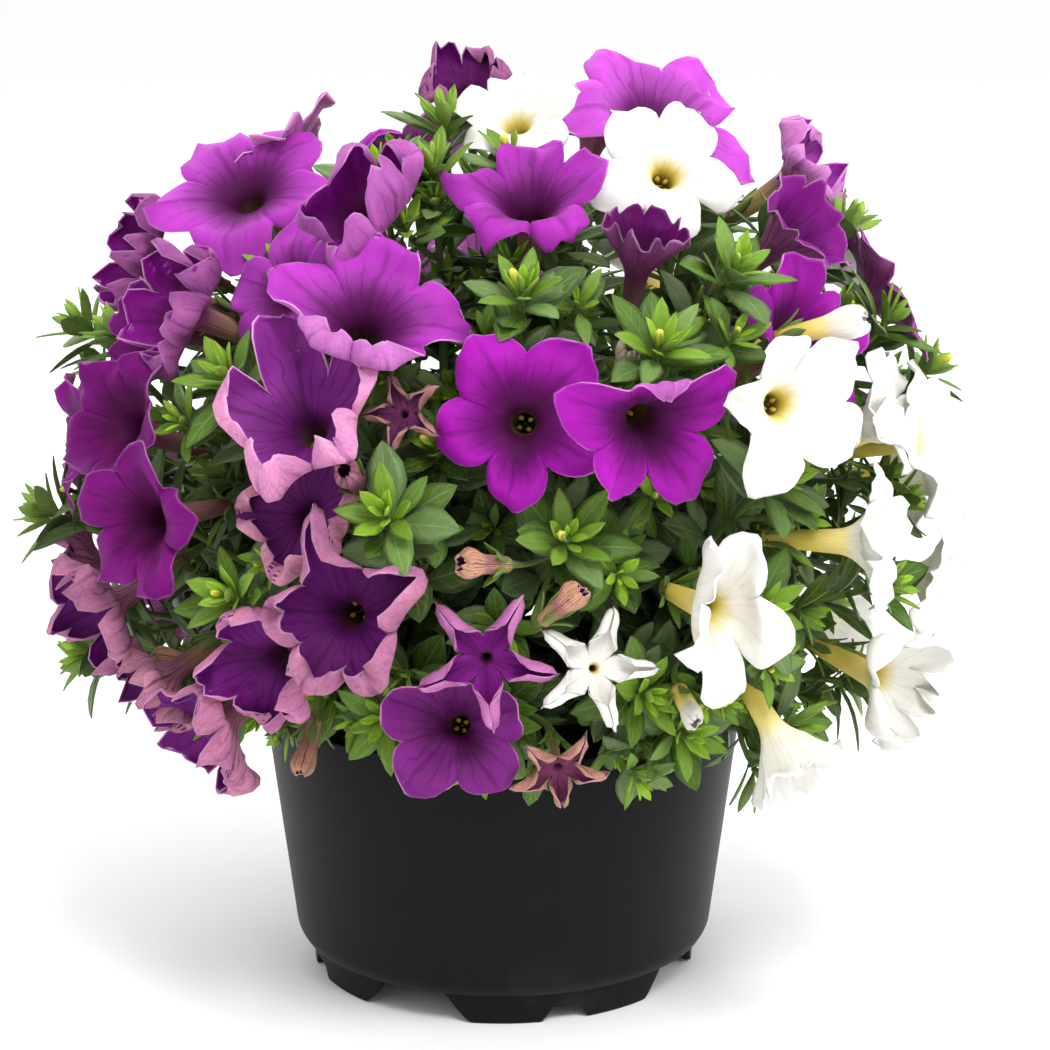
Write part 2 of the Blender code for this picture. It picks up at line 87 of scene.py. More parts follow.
Color = tuple[float, float, float]
Curve = tuple[Vector, Vector, Vector, Vector]
Outline = list[tuple[float, float]]
Socket = bpy.types.NodeSocket
Value = float | Color | Socket
Number = float | np.ndarray
PLAIN_TINT = (0.5, 0.5, 0.5)


class Plant(Enum):
    """The two plants in the pot, each with the place of its crown on the soil."""

    VIOLET = (-14 * MM, 2 * MM)
    WHITE = (20 * MM, -3 * MM)


class Slot(Enum):
    """The record's material slots."""

    POT = "black_plastic"
    SOIL = "potting_soil"
    CROWN = "crown_stem"
    LEAF = "leaf_green"
    VIOLET = "violet_petal"
    WHITE = "white_petal"


def heading(azimuth: float, elevation: float) -> Vector:
    """The unit vector of an azimuth and an elevation in degrees.

    Args:
        azimuth: The angle from -Y towards +X.
        elevation: The angle above the horizontal.

    Returns:
        The direction.
    """
    around = math.radians(azimuth)
    up = math.radians(elevation)
    return Vector((math.sin(around) * math.cos(up), -math.cos(around) * math.cos(up), math.sin(up)))


def bezier(points: Curve, share: float) -> tuple[Vector, Vector]:
    """The point and the tangent of a cubic curve.

    Args:
        points: The curve's four points.
        share: The share of its run, from 0 to 1.

    Returns:
        The place and the unit tangent.
    """
    rest = 1 - share
    a, b, c, d = points
    place = a * rest**3 + b * 3 * rest**2 * share + c * 3 * rest * share**2 + d * share**3
    tangent = (b - a) * rest**2 + (c - b) * 2 * rest * share + (d - c) * share**2
    return place, tangent.normalized()


def eased(low: float, high: float, value: Number) -> Number:
    """A smooth step from 0 at low to 1 at high."""
    share = np.clip((value - low) / (high - low), 0, 1)
    return share * share * (3 - 2 * share)


def carried(side: Vector, axis: Vector) -> Vector:
    """A side direction turned as little as it can be to stand square to an axis."""
    return (side - axis * side.dot(axis)).normalized()


def any_side(axis: Vector) -> Vector:
    """A unit vector square to an axis, level where it can be."""
    side = axis.cross(UP)
    return side.normalized() if side.length > 0.05 else Vector((1, 0, 0))


def placed(name: str, data: bpy.types.ID) -> bpy.types.Object:
    """Puts an object in the scene.

    Args:
        name: Its name.
        data: Its mesh, light or camera.

    Returns:
        The object.
    """
    made = bpy.data.objects.new(name, data)
    bpy.context.scene.collection.objects.link(made)
    return made


COLOR_MIX_INPUTS = (0, 6, 7)
COLOR_MIX_OUTPUT = 2


class Graph:
    """A material's nodes, built with short calls. A value is a number, a colour or a node's socket."""

    def __init__(self, name: str) -> None:
        """Starts a material with its shader.

        Args:
            name: The material's name.
        """
        self.material = bpy.data.materials.new(name)
        self.material.use_nodes = True
        self.tree = self.material.node_tree
        self.shader = self.tree.nodes["Principled BSDF"]

    def made(self, kind: str, inputs: dict[str | int, Value], **settings: str) -> bpy.types.NodeOutputs:
        """Adds a node and fills its inputs.

        Args:
            kind: The node's type.
            inputs: The values, by the names or numbers of the inputs.
            settings: Its own properties.

        Returns:
            The node's outputs.
        """
        node = self.tree.nodes.new(kind)
        for key, value in settings.items():
            setattr(node, key, value)
        for key, value in inputs.items():
            self.feed(node.inputs[key], value)
        return node.outputs

    def feed(self, socket: Socket, value: Value) -> None:
        """Links a socket to another, or sets its constant.

        Args:
            socket: The input to fill.
            value: A socket, a number or a colour.
        """
        if isinstance(value, Socket):
            self.tree.links.new(value, socket)
        elif isinstance(value, tuple) and len(value) < len(socket.default_value):
            socket.default_value = (*value, 1)
        else:
            socket.default_value = value

    def set(self, **constants: Value) -> None:
        """Sets or links the shader's sockets.

        Args:
            constants: The values, by the sockets' names in lower case with underscores.
        """
        names = {socket.name.lower().replace(" ", "_"): socket for socket in self.shader.inputs}
        for key, value in constants.items():
            self.feed(names[key], value)

    def math(self, operation: str, *values: Value) -> Socket:
        """The result of a math operation on one to three values."""
        return self.made("ShaderNodeMath", dict(enumerate(values)), operation=operation)[0]

    def times(self, first: Value, second: Value) -> Socket:
        """One value times another."""
        return self.math("MULTIPLY", first, second)

    def plus(self, first: Value, second: Value) -> Socket:
        """One value plus another."""
        return self.math("ADD", first, second)

    def scaled(self, value: Value, factor: Value, offset: Value) -> Socket:
        """A value times a factor, plus an offset."""
        return self.math("MULTIPLY_ADD", value, factor, offset)

    def shaded(self, color: Value, value: Value) -> Socket:
        """A colour made darker or lighter by a value."""
        return self.mix(1.0, color, self.vector(value, value, value), "MULTIPLY")

    def mix(self, share: Value, first: Value, second: Value, blend: str = "MIX") -> Socket:
        """A mix of two colours by a share."""
        inputs = dict(zip(COLOR_MIX_INPUTS, (share, first, second)))
        return self.made("ShaderNodeMix", inputs, data_type="RGBA", blend_type=blend)[COLOR_MIX_OUTPUT]

    def fit(self, value: Value, low: float, high: float, start: float = 0.0, end: float = 1.0) -> Socket:
        """A value carried smoothly from one range to another, and held at its ends."""
        inputs = dict(enumerate((value, low, high, start, end)))
        return self.made("ShaderNodeMapRange", inputs, interpolation_type="SMOOTHSTEP")[0]

    def ramp(self, value: Value, *stops: tuple[float, Color]) -> Socket:
        """Reads a colour from stops.

        Args:
            value: The place between 0 and 1.
            stops: Each a position and a colour.

        Returns:
            The colour.
        """
        node = self.tree.nodes.new("ShaderNodeValToRGB")
        elements = node.color_ramp.elements
        while len(elements) < len(stops):
            elements.new(0.5)
        for element, (position, color) in zip(elements, stops):
            element.position = position
            element.color = (*color, 1)
        self.feed(node.inputs[0], value)
        return node.outputs[0]

    def noise(self, vector: Socket, scale: float, detail: float = 2.0, roughness: float = 0.5) -> Socket:
        """A noise value from 0 to 1 at a vector."""
        inputs = {"Vector": vector, "Scale": scale, "Detail": detail, "Roughness": roughness}
        return self.made("ShaderNodeTexNoise", inputs)[0]

    def cell_edge(self, vector: Socket, scale: float) -> Socket:
        """The distance to the nearest edge of a net of cells at a vector."""
        inputs = {"Vector": vector, "Scale": scale}
        return self.made("ShaderNodeTexVoronoi", inputs, feature="DISTANCE_TO_EDGE")[0]

    def vector(self, x: Value, y: Value, z: Value = 0.0) -> Socket:
        """A vector of three values."""
        return self.made("ShaderNodeCombineXYZ", dict(enumerate((x, y, z))))[0]

    def parts(self, vector: Socket) -> list[Socket]:
        """The three values of a vector."""
        return list(self.made("ShaderNodeSeparateXYZ", {0: vector}))

    def object_place(self) -> Socket:
        """The object's own coordinates, in metres."""
        return self.made("ShaderNodeTexCoord", {})["Object"]

    def surface_map(self) -> list[Socket]:
        """The two coordinates of the piece's surface map."""
        return self.parts(self.made("ShaderNodeUVMap", {}, uv_map=MAP_NAME)[0])[:2]

    def tint(self) -> list[Socket]:
        """The three channels of the piece's tint."""
        color = self.made("ShaderNodeAttribute", {}, attribute_name=TINT_NAME)["Color"]
        return list(self.made("ShaderNodeSeparateColor", {0: color}))

    def emboss(self, height: Socket, strength: float, distance: float) -> None:
        """Links a bump of a height in metres to the shader's normal."""
        inputs = {"Strength": strength, "Distance": distance, "Height": height}
        self.set(normal=self.made("ShaderNodeBump", inputs)[0])


@dataclass(frozen=True)
class PetalFinish:
    """One side of a petal. Its map runs once round the flower and from the tube's foot, at 0, over the
    throat, from 0.3 to 0.5, to the margin at 1. Its tint holds age, a painted lightness that makes a
    flower lighter where it sits in the light and darker where it sits in shade, and paleness."""

    name: str
    deep: Color
    throat: Color
    inner: Color
    outer: Color
    margin: Color
    aged: Color
    withered: Color
    vein: Color
    fan_strength: float
    net_strength: float
    roughness: float = 0.55
    sheen: float = 0.02
    glow: float = 0.5
    blotches: float = 0.9
    # wine: a darker colour painted onto flowers of low lightness, as painted shade
    wine: Color = (0.12, 0.003, 0.075)
    shade_flush: float = 0.5
    throat_end: float = 0.56

    def make(self) -> bpy.types.Material:
        """Builds the material.

        Returns:
            The petal's material, with fanned and netted veins, a pale margin and its ageing.
        """
        g = Graph(self.name)
        around, along = g.surface_map()
        # light is painted light and shade, set for each flower by where it sits in the light
        age, light, pale = g.tint()
        turn = g.times(around, TURN)
        flat_x = g.times(along, g.math("COSINE", turn))
        flat_y = g.times(along, g.math("SINE", turn))
        flat = g.vector(flat_x, flat_y, g.times(g.plus(pale, light), 9.0))
        wobble = g.noise(flat, 7.0, 3.0)
        blotch = g.noise(flat, 2.6, 2.0)
        fan_turn = g.scaled(around, math.pi * 25, g.times(wobble, 4.0))
        fan = g.fit(g.math("ABSOLUTE", g.math("COSINE", fan_turn)), 0.93, 1.0)
        fan = g.times(fan, g.fit(along, 1.0, 0.62))
        mid_turn = g.scaled(around, math.pi * 5, g.times(wobble, 0.35))
        midrib = g.fit(g.math("ABSOLUTE", g.math("SINE", mid_turn)), 0.992, 1.0)
        midrib = g.times(midrib, g.fit(along, 1.02, 0.80))
        bent = g.vector(flat_x, g.scaled(wobble, 0.12, flat_y), 0.0)
        net = g.fit(g.cell_edge(bent, 17.0), 0.055, 0.0)
        net = g.times(net, g.fit(along, 0.4, 0.6))
        veins = g.math("MAXIMUM", g.times(fan, self.fan_strength), g.times(net, self.net_strength))
        veins = g.math("MAXIMUM", veins, g.times(midrib, self.fan_strength))
        spread = g.scaled(wobble, 0.10, g.plus(along, -0.05))
        fresh = g.ramp(spread, (0.20, self.deep), (0.37, self.throat), (self.throat_end, self.inner),
                       (0.84, self.outer), (1.0, self.outer))
        fresh = g.mix(g.times(pale, g.fit(along, 0.42, 0.75, 0.0, 0.75)), fresh, self.margin)
        # Painted shade: flowers with a low lightness are deepened towards the darker wine colour, in
        # blotches.
        shade_flush = g.times(g.fit(light, 0.4, 0.0), self.shade_flush)
        shade_flush = g.times(g.scaled(blotch, 1.0, shade_flush), shade_flush)
        fresh = g.mix(shade_flush, fresh, self.wine)
        old = g.mix(g.fit(age, 0.5, 1.0), self.aged, self.withered)
        old = g.mix(g.fit(along, 0.55, 0.2), old, fresh)
        worn = g.scaled(blotch, 0.5, g.plus(age, -0.25))
        color = g.mix(g.fit(worn, 0.0, 0.7), fresh, old)
        stronger = g.scaled(age, 0.5, 0.8)
        color = g.mix(g.times(veins, stronger), color, self.vein)
        rim = g.times(g.fit(along, 0.975, 1.0), 0.45)
        color = g.mix(rim, color, self.margin)
        # Painted light and shade: the flower's lightness scales the colour, together with random blotches.
        value = g.scaled(blotch, self.blotches, 0.65 - self.blotches / 2)
        value = g.scaled(light, 0.7, value)
        color = g.shaded(color, value)
        g.set(base_color=color, roughness=self.roughness, sheen_weight=self.sheen, sheen_roughness=0.4)
        g.set(subsurface_weight=self.glow, subsurface_scale=1.0 * MM, subsurface_radius=(1, 1, 1))
        g.set(specular_ior_level=0.08)
        relief = g.scaled(veins, -0.7, g.noise(flat, 60.0, 4.0, 0.6))
        g.emboss(relief, 0.35, 0.25 * MM)
        return g.material


@dataclass(frozen=True)
class LeafFinish:
    """One side of a leaf. Its map runs across, with the midrib at 0.5, and from the foot to the tip.
    Its tint holds youth, lightness and a chance value."""

    name: str
    # old: the green of old leaves, made dark enough to stand partly for the shade inside the foliage
    old: Color
    grown: Color
    young: Color
    rib: Color
    fuzz: Color
    roughness: float = 0.42

    def make(self) -> bpy.types.Material:
        """Builds the material.

        Returns:
            The leaf's material, with its midrib, side veins, mottling and downy margin.
        """
        g = Graph(self.name)
        across, along = g.surface_map()
        youth, light, chance = g.tint()
        off = g.math("ABSOLUTE", g.plus(across, -0.5))
        place = g.object_place()
        mottle = g.noise(place, 420.0, 3.0, 0.6)
        broad = g.noise(place, 90.0, 2.0)
        # Old leaves get the darkest green, which partly paints the shade deep in the plant, where they sit.
        color = g.ramp(youth, (0.0, self.old), (0.42, self.grown), (1.0, self.young))
        slant = g.scaled(off, -22.0, g.times(along, 34.0))
        slant = g.scaled(mottle, 1.6, slant)
        side = g.fit(g.math("SINE", slant), 0.84, 1.0)
        side = g.times(side, g.fit(off, 0.5, 0.3))
        midrib = g.fit(off, 0.045, 0.008)
        paler = g.mix(0.35, color, self.rib)
        color = g.mix(g.times(side, 0.5), color, paler)
        color = g.mix(g.times(midrib, 0.9), color, paler)
        edge = g.times(g.fit(off, 0.43, 0.5), 0.5)
        downy = g.times(g.fit(chance, 0.35, 0.95, 0.0, 0.45), g.fit(youth, 0.9, 0.3))
        color = g.mix(g.math("MAXIMUM", edge, downy), color, self.fuzz)
        value = g.scaled(light, 0.9, g.scaled(mottle, 0.45, 0.15))
        value = g.scaled(broad, 0.35, value)
        color = g.shaded(color, value)
        g.set(base_color=color, roughness=self.roughness, sheen_weight=0.03, sheen_roughness=0.35)
        g.set(specular_ior_level=0.26)
        relief = g.scaled(side, -0.5, g.scaled(midrib, -1.0, mottle))
        g.emboss(relief, 0.45, 0.3 * MM)
        return g.material


@dataclass(frozen=True)
class StemFinish:
    """A downy green stem, browner where its tint says that it is old."""

    name: str
    green: Color
    brown: Color
    fuzz: Color

    def make(self) -> bpy.types.Material:
        """Builds the material.

        Returns:
            The stem's material, with long streaks and down.
        """
        g = Graph(self.name)
        around, along = g.surface_map()
        youth, light, chance = g.tint()
        streak = g.noise(g.vector(g.times(around, 9.0), g.times(along, 2.0), chance), 4.0, 4.0)
        color = g.mix(g.fit(youth, 0.35, 0.0), self.green, self.brown)
        color = g.mix(g.times(g.fit(streak, 0.5, 0.8), 0.5), color, self.fuzz)
        value = g.scaled(streak, 0.7, g.scaled(light, 0.6, 0.3))
        color = g.shaded(color, value)
        g.set(base_color=color, roughness=0.6, sheen_weight=0.1, sheen_roughness=0.4)
        g.set(specular_ior_level=0.3)
        g.emboss(streak, 0.6, 0.3 * MM)
        return g.material


@dataclass(frozen=True)
class GrainFinish:
    """A surface of mixed grains, such as pollen, peat or bark, of three colours at two scales."""

    name: str
    dark: Color
    main: Color
    light: Color
    fine: float
    coarse: float
    roughness: float
    relief: float

    def make(self) -> bpy.types.Material:
        """Builds the material.

        Returns:
            The grainy material.
        """
        g = Graph(self.name)
        place = g.object_place()
        small = g.noise(place, self.fine, 5.0, 0.65)
        big = g.noise(place, self.coarse, 3.0, 0.6)
        both = g.scaled(small, 0.6, g.times(big, 0.4))
        color = g.ramp(both, (0.30, self.dark), (0.5, self.main), (0.72, self.light))
        rough = g.fit(small, 0.2, 0.8, self.roughness - 0.12, self.roughness + 0.08)
        g.set(base_color=color, roughness=rough, specular_ior_level=0.3)
        g.emboss(both, 0.9, self.relief)
        return g.material


@dataclass(frozen=True)
class PlasticFinish:
    """Moulded satin plastic with a fine grain, faint draw lines and a little dust low down."""

    name: str
    color: Color
    dust: Color
    roughness: float

    def make(self) -> bpy.types.Material:
        """Builds the material.

        Returns:
            The pot's material.
        """
        g = Graph(self.name)
        place = g.object_place()
        x, y, z = g.parts(place)
        turned = g.math("ARCTAN2", y, x)
        drawn = g.noise(g.vector(g.times(turned, 160.0), g.times(z, 30.0)), 1.0, 3.0)
        grain = g.noise(place, 2600.0, 2.0)
        cloud = g.noise(place, 55.0, 4.0, 0.6)
        specks = g.fit(g.noise(place, 900.0, 1.0), 0.72, 0.80)
        low = g.fit(z, 22 * MM, 0.0)
        dusty = g.times(g.fit(cloud, 0.48, 0.75), g.scaled(low, 0.28, 0.05))
        dusty = g.math("MAXIMUM", dusty, g.times(specks, 0.10))
        g.set(base_color=g.mix(dusty, self.color, self.dust))
        rough = g.scaled(cloud, 0.10, self.roughness - 0.05)
        g.set(roughness=g.scaled(drawn, 0.06, rough))
        g.set(specular_ior_level=0.11)
        relief = g.scaled(drawn, 0.7, g.times(grain, 0.5))
        g.emboss(relief, 0.22, 0.12 * MM)
        return g.material


BOTH_WHITE = {
    "margin": (0.82, 0.815, 0.80), "withered": (0.52, 0.36, 0.16), "fan_strength": 0.35,
    "net_strength": 0.06, "blotches": 0.25, "shade_flush": 0.0, "glow": 0.15, "throat_end": 0.47,
}


class Finish(Enum):
    """Every finish of the object."""

    VIOLET_FACE = PetalFinish(
        "violet_petal_face", deep=(0.12, 0.085, 0.008), throat=(0.035, 0.004, 0.018),
        inner=(0.105, 0.002, 0.100), outer=(0.33, 0.009, 0.35), margin=(0.56, 0.15, 0.60),
        aged=(0.14, 0.014, 0.17), withered=(0.20, 0.045, 0.10), vein=(0.045, 0.001, 0.045),
        fan_strength=0.42, net_strength=0.06,
    )
    VIOLET_BACK = PetalFinish(
        "violet_petal_back", deep=(0.34, 0.25, 0.09), throat=(0.22, 0.065, 0.12), inner=(0.30, 0.055, 0.27),
        outer=(0.43, 0.11, 0.41), margin=(0.62, 0.32, 0.56), aged=(0.58, 0.24, 0.35),
        withered=(0.50, 0.27, 0.16), vein=(0.10, 0.010, 0.085), fan_strength=0.70, net_strength=0.36,
        wine=(0.26, 0.045, 0.17),
    )
    WHITE_FACE = PetalFinish(
        "white_petal_face", deep=(0.26, 0.22, 0.015), throat=(0.66, 0.53, 0.10), inner=(0.75, 0.73, 0.66),
        outer=(0.76, 0.75, 0.725), aged=(0.82, 0.77, 0.66), vein=(0.58, 0.52, 0.38), **BOTH_WHITE,
    )
    WHITE_BACK = PetalFinish(
        "white_petal_back", deep=(0.68, 0.53, 0.09), throat=(0.84, 0.70, 0.27), inner=(0.88, 0.85, 0.72),
        outer=(0.78, 0.77, 0.73), aged=(0.82, 0.75, 0.60), vein=(0.66, 0.52, 0.24), **BOTH_WHITE,
    )
    BUD = PetalFinish(
        "young_bud", deep=(0.20, 0.27, 0.02), throat=(0.30, 0.36, 0.03), inner=(0.45, 0.47, 0.06),
        outer=(0.72, 0.66, 0.10), margin=(0.74, 0.66, 0.16), aged=(0.60, 0.36, 0.14),
        withered=(0.50, 0.27, 0.12), vein=(0.24, 0.30, 0.03), fan_strength=0.5, net_strength=0.0,
        shade_flush=0.0,
    )
    # The old greens are partly painted shade for the dark inside of the plant.
    LEAF_TOP = LeafFinish(
        "leaf_top", old=(0.022, 0.038, 0.006), grown=(0.070, 0.152, 0.011), young=(0.25, 0.44, 0.022),
        rib=(0.34, 0.46, 0.17), fuzz=(0.22, 0.31, 0.15),
    )
    LEAF_UNDER = LeafFinish(
        "leaf_underside", old=(0.040, 0.065, 0.022), grown=(0.10, 0.18, 0.035), young=(0.26, 0.40, 0.05),
        rib=(0.36, 0.46, 0.22), fuzz=(0.34, 0.44, 0.20), roughness=0.6,
    )
    STEM = StemFinish(
        "green_stem", green=(0.10, 0.17, 0.026), brown=(0.10, 0.075, 0.03), fuzz=(0.28, 0.34, 0.12),
    )
    POLLEN = GrainFinish(
        "anther_pollen", dark=(0.30, 0.15, 0.01), main=(0.55, 0.33, 0.03), light=(0.74, 0.55, 0.12),
        fine=2500.0, coarse=700.0, roughness=0.8, relief=0.2 * MM,
    )
    PEAT = GrainFinish(
        "potting_peat", dark=(0.014, 0.008, 0.005), main=(0.042, 0.024, 0.015), light=(0.12, 0.072, 0.045),
        fine=1100.0, coarse=160.0, roughness=0.9, relief=1.2 * MM,
    )
    FIBRE = GrainFinish(
        "root_fibre", dark=(0.05, 0.028, 0.014), main=(0.13, 0.075, 0.038), light=(0.34, 0.22, 0.12),
        fine=900.0, coarse=120.0, roughness=0.8, relief=0.3 * MM,
    )
    BARK = GrainFinish(
        "crown_bark", dark=(0.030, 0.028, 0.012), main=(0.10, 0.11, 0.04), light=(0.24, 0.24, 0.11),
        fine=700.0, coarse=150.0, roughness=0.75, relief=0.6 * MM,
    )
    PLASTIC = PlasticFinish(
        "black_pot_plastic", color=(0.0048, 0.0048, 0.0050), dust=(0.042, 0.038, 0.033), roughness=0.42,
    )


Palette = dict[Finish, bpy.types.Material]


class Skin:
    """A mesh as it is built up from closed parts, with a map, a tint and a finish for every face."""

    def __init__(self) -> None:
        """Starts an empty mesh."""
        self.places: list[np.ndarray] = []
        self.quads: list[np.ndarray] = []
        self.maps: list[np.ndarray] = []
        self.tints: list[np.ndarray] = []
        self.kinds: list[np.ndarray] = []
        self.finishes: list[Finish] = []
        self.count = 0

    def index_of(self, finish: Finish) -> int:
        """The number of a finish's slot on this mesh.

        Args:
            finish: The finish, which gets a slot if it has none.

        Returns:
            The slot's number.
        """
        if finish not in self.finishes:
            self.finishes.append(finish)
        return self.finishes.index(finish)

    def add_rings(self, rings: np.ndarray, around: np.ndarray, along: np.ndarray, bands: np.ndarray,
                  tint: np.ndarray) -> None:
        """Adds a closed part made of rings, with a pole at each end.

        Args:
            rings: Places, as rows by columns by 3. The columns close on themselves.
            around: The map's first coordinate for each column and, at the end, the first column again.
            along: The map's second coordinate for each row and column.
            bands: The slot number of the faces between each row and the next, for each column.
            tint: Three channels for the part, or for each row.
        """
        rows, columns, _ = rings.shape
        ends = np.stack([rings[0].mean(axis=0), rings[-1].mean(axis=0)])
        places = np.concatenate([rings.reshape(-1, 3), ends])
        column = np.arange(columns)
        after = (column + 1) % columns
        base = np.arange(rows - 1)[:, None] * columns
        behind = base + columns
        quads = np.stack([base + column, base + after, behind + after, behind + column], axis=2)
        quads = quads.reshape(-1, 4)
        maps = np.empty((rows - 1, columns, 4, 2))
        maps[..., 0, 0] = maps[..., 3, 0] = around[:-1]
        maps[..., 1, 0] = maps[..., 2, 0] = around[1:]
        maps[..., 0, 1] = along[:-1]
        maps[..., 1, 1] = along[:-1][:, after]
        maps[..., 2, 1] = along[1:][:, after]
        maps[..., 3, 1] = along[1:]
        maps = maps.reshape(-1, 4, 2)
        caps = []
        for row, pole, first, second in ((0, rows * columns, after, column),
                                         (rows - 1, rows * columns + 1, column, after)):
            cap = np.full((columns, 4), pole)
            cap[:, 0] = row * columns + first
            cap[:, 1] = row * columns + second
            cap[:, 3] = -1
            cap_map = np.empty((columns, 4, 2))
            cap_map[..., 0] = around[:-1, None]
            cap_map[..., 1] = along[row][:, None]
            caps.append((cap, cap_map))
        quads = np.concatenate([quads, caps[0][0], caps[1][0]])
        maps = np.concatenate([maps, caps[0][1], caps[1][1]])
        kinds = np.concatenate([bands.reshape(-1), bands[0], bands[-1]])
        if self.volume(places, quads) < 0:
            order = np.where(quads[:, 3:] < 0, [[1, 0, 2, 3]], [[3, 2, 1, 0]])
            quads = np.take_along_axis(quads, order, axis=1)
            maps = np.take_along_axis(maps, order[..., None], axis=1)
        tints = np.asarray(tint, float)
        if tints.ndim == 1:
            tints = np.broadcast_to(tints, (len(places), 3))
        else:
            tints = np.concatenate([np.repeat(tints, columns, axis=0), tints[[0, -1]]])
        self.places.append(places)
        self.quads.append(np.where(quads < 0, -1, quads + self.count))
        self.maps.append(maps)
        self.tints.append(tints)
        self.kinds.append(kinds)
        self.count += len(places)

    def add_turned(self, rings: np.ndarray, finish: Finish, tint: Color = PLAIN_TINT) -> None:
        """Adds a closed part of one finish, whose map runs evenly round its rings and along them.

        Args:
            rings: Places, as rows by columns by 3.
            finish: Its finish.
            tint: Its tint.
        """
        rows, sides, _ = rings.shape
        along = np.repeat(np.linspace(0, 1, rows)[:, None], sides, axis=1)
        bands = np.full((rows - 1, sides), self.index_of(finish))
        self.add_rings(rings, np.arange(sides + 1) / sides, along, bands, np.array(tint))

    @staticmethod
    def volume(places: np.ndarray, quads: np.ndarray) -> float:
        """The volume inside a closed part, negative if its faces look inwards.

        Args:
            places: Its places.
            quads: Its faces, with -1 as the last corner of a triangle.

        Returns:
            Six times the volume.
        """
        centred = places - places.mean(axis=0)
        corners = centred[quads]
        first = np.einsum("ij,ij->i", corners[:, 0], np.cross(corners[:, 1], corners[:, 2]))
        second = np.einsum("ij,ij->i", corners[:, 0], np.cross(corners[:, 2], corners[:, 3]))
        return float(first.sum() + second[quads[:, 3] >= 0].sum())

    def make(self, name: str, palette: Palette) -> bpy.types.Object:
        """Turns the skin into an object in the scene.

        Args:
            name: The piece's name.
            palette: The finished materials.

        Returns:
            The object.
        """
        quads = np.concatenate(self.quads)
        is_quad = quads[:, 3] >= 0
        faces = [tuple(q) if q[3] >= 0 else tuple(q[:3]) for q in quads.tolist()]
        mesh = bpy.data.meshes.new(name)
        mesh.from_pydata(np.concatenate(self.places).tolist(), [], faces)
        keep = np.repeat(is_quad[:, None], 4, axis=1)
        keep[:, :3] = True
        mapped = np.concatenate(self.maps)[keep]
        layer = mesh.uv_layers.new(name=MAP_NAME)
        layer.uv.foreach_set("vector", mapped.astype(np.float32).ravel())
        tints = np.concatenate(self.tints)
        colors = np.ones((len(tints), 4), np.float32)
        colors[:, :3] = tints
        attribute = mesh.color_attributes.new(TINT_NAME, "FLOAT_COLOR", "POINT")
        attribute.data.foreach_set("color", colors.ravel())
        for finish in self.finishes:
            mesh.materials.append(palette[finish])
        mesh.polygons.foreach_set("material_index", np.concatenate(self.kinds).astype(np.int32))
        mesh.shade_smooth()
        mesh.update()
        return placed(name, mesh)


def add_tube(skin: Skin, line: list[Vector], radii: Sequence[float], sides: int, finish: Finish,
             tint: Color = PLAIN_TINT, ridges: float = 0.0) -> None:
    """Adds a closed tube along a line.

    Args:
        skin: The mesh to add to.
        line: The places along the tube's middle.
        radii: The radius at each place.
        sides: The number of sides.
        finish: The tube's finish.
        tint: The tube's tint.
        ridges: The height of five ridges along the tube, as a share of its radius.
    """
    rows = len(line)
    rings = np.empty((rows, sides, 3))
    angles = np.arange(sides) * TURN / sides
    shape = 1 + ridges * np.cos(5 * angles)
    side = any_side((line[1] - line[0]).normalized())
    for row, (place, radius) in enumerate(zip(line, radii)):
        axis = (line[min(row + 1, rows - 1)] - line[max(row - 1, 0)]).normalized()
        side = carried(side, axis)
        other = axis.cross(side)
        ring = np.outer(np.cos(angles) * shape, side) + np.outer(np.sin(angles) * shape, other)
        rings[row] = np.array(place) + ring * radius
    skin.add_turned(rings, finish, tint)


LEAF_STATIONS = (0.0, 0.1, 0.27, 0.48, 0.7, 0.89, 1.0)
SLIM_STATIONS = (0.0, 0.1, 0.3, 0.55, 0.8, 1.0)


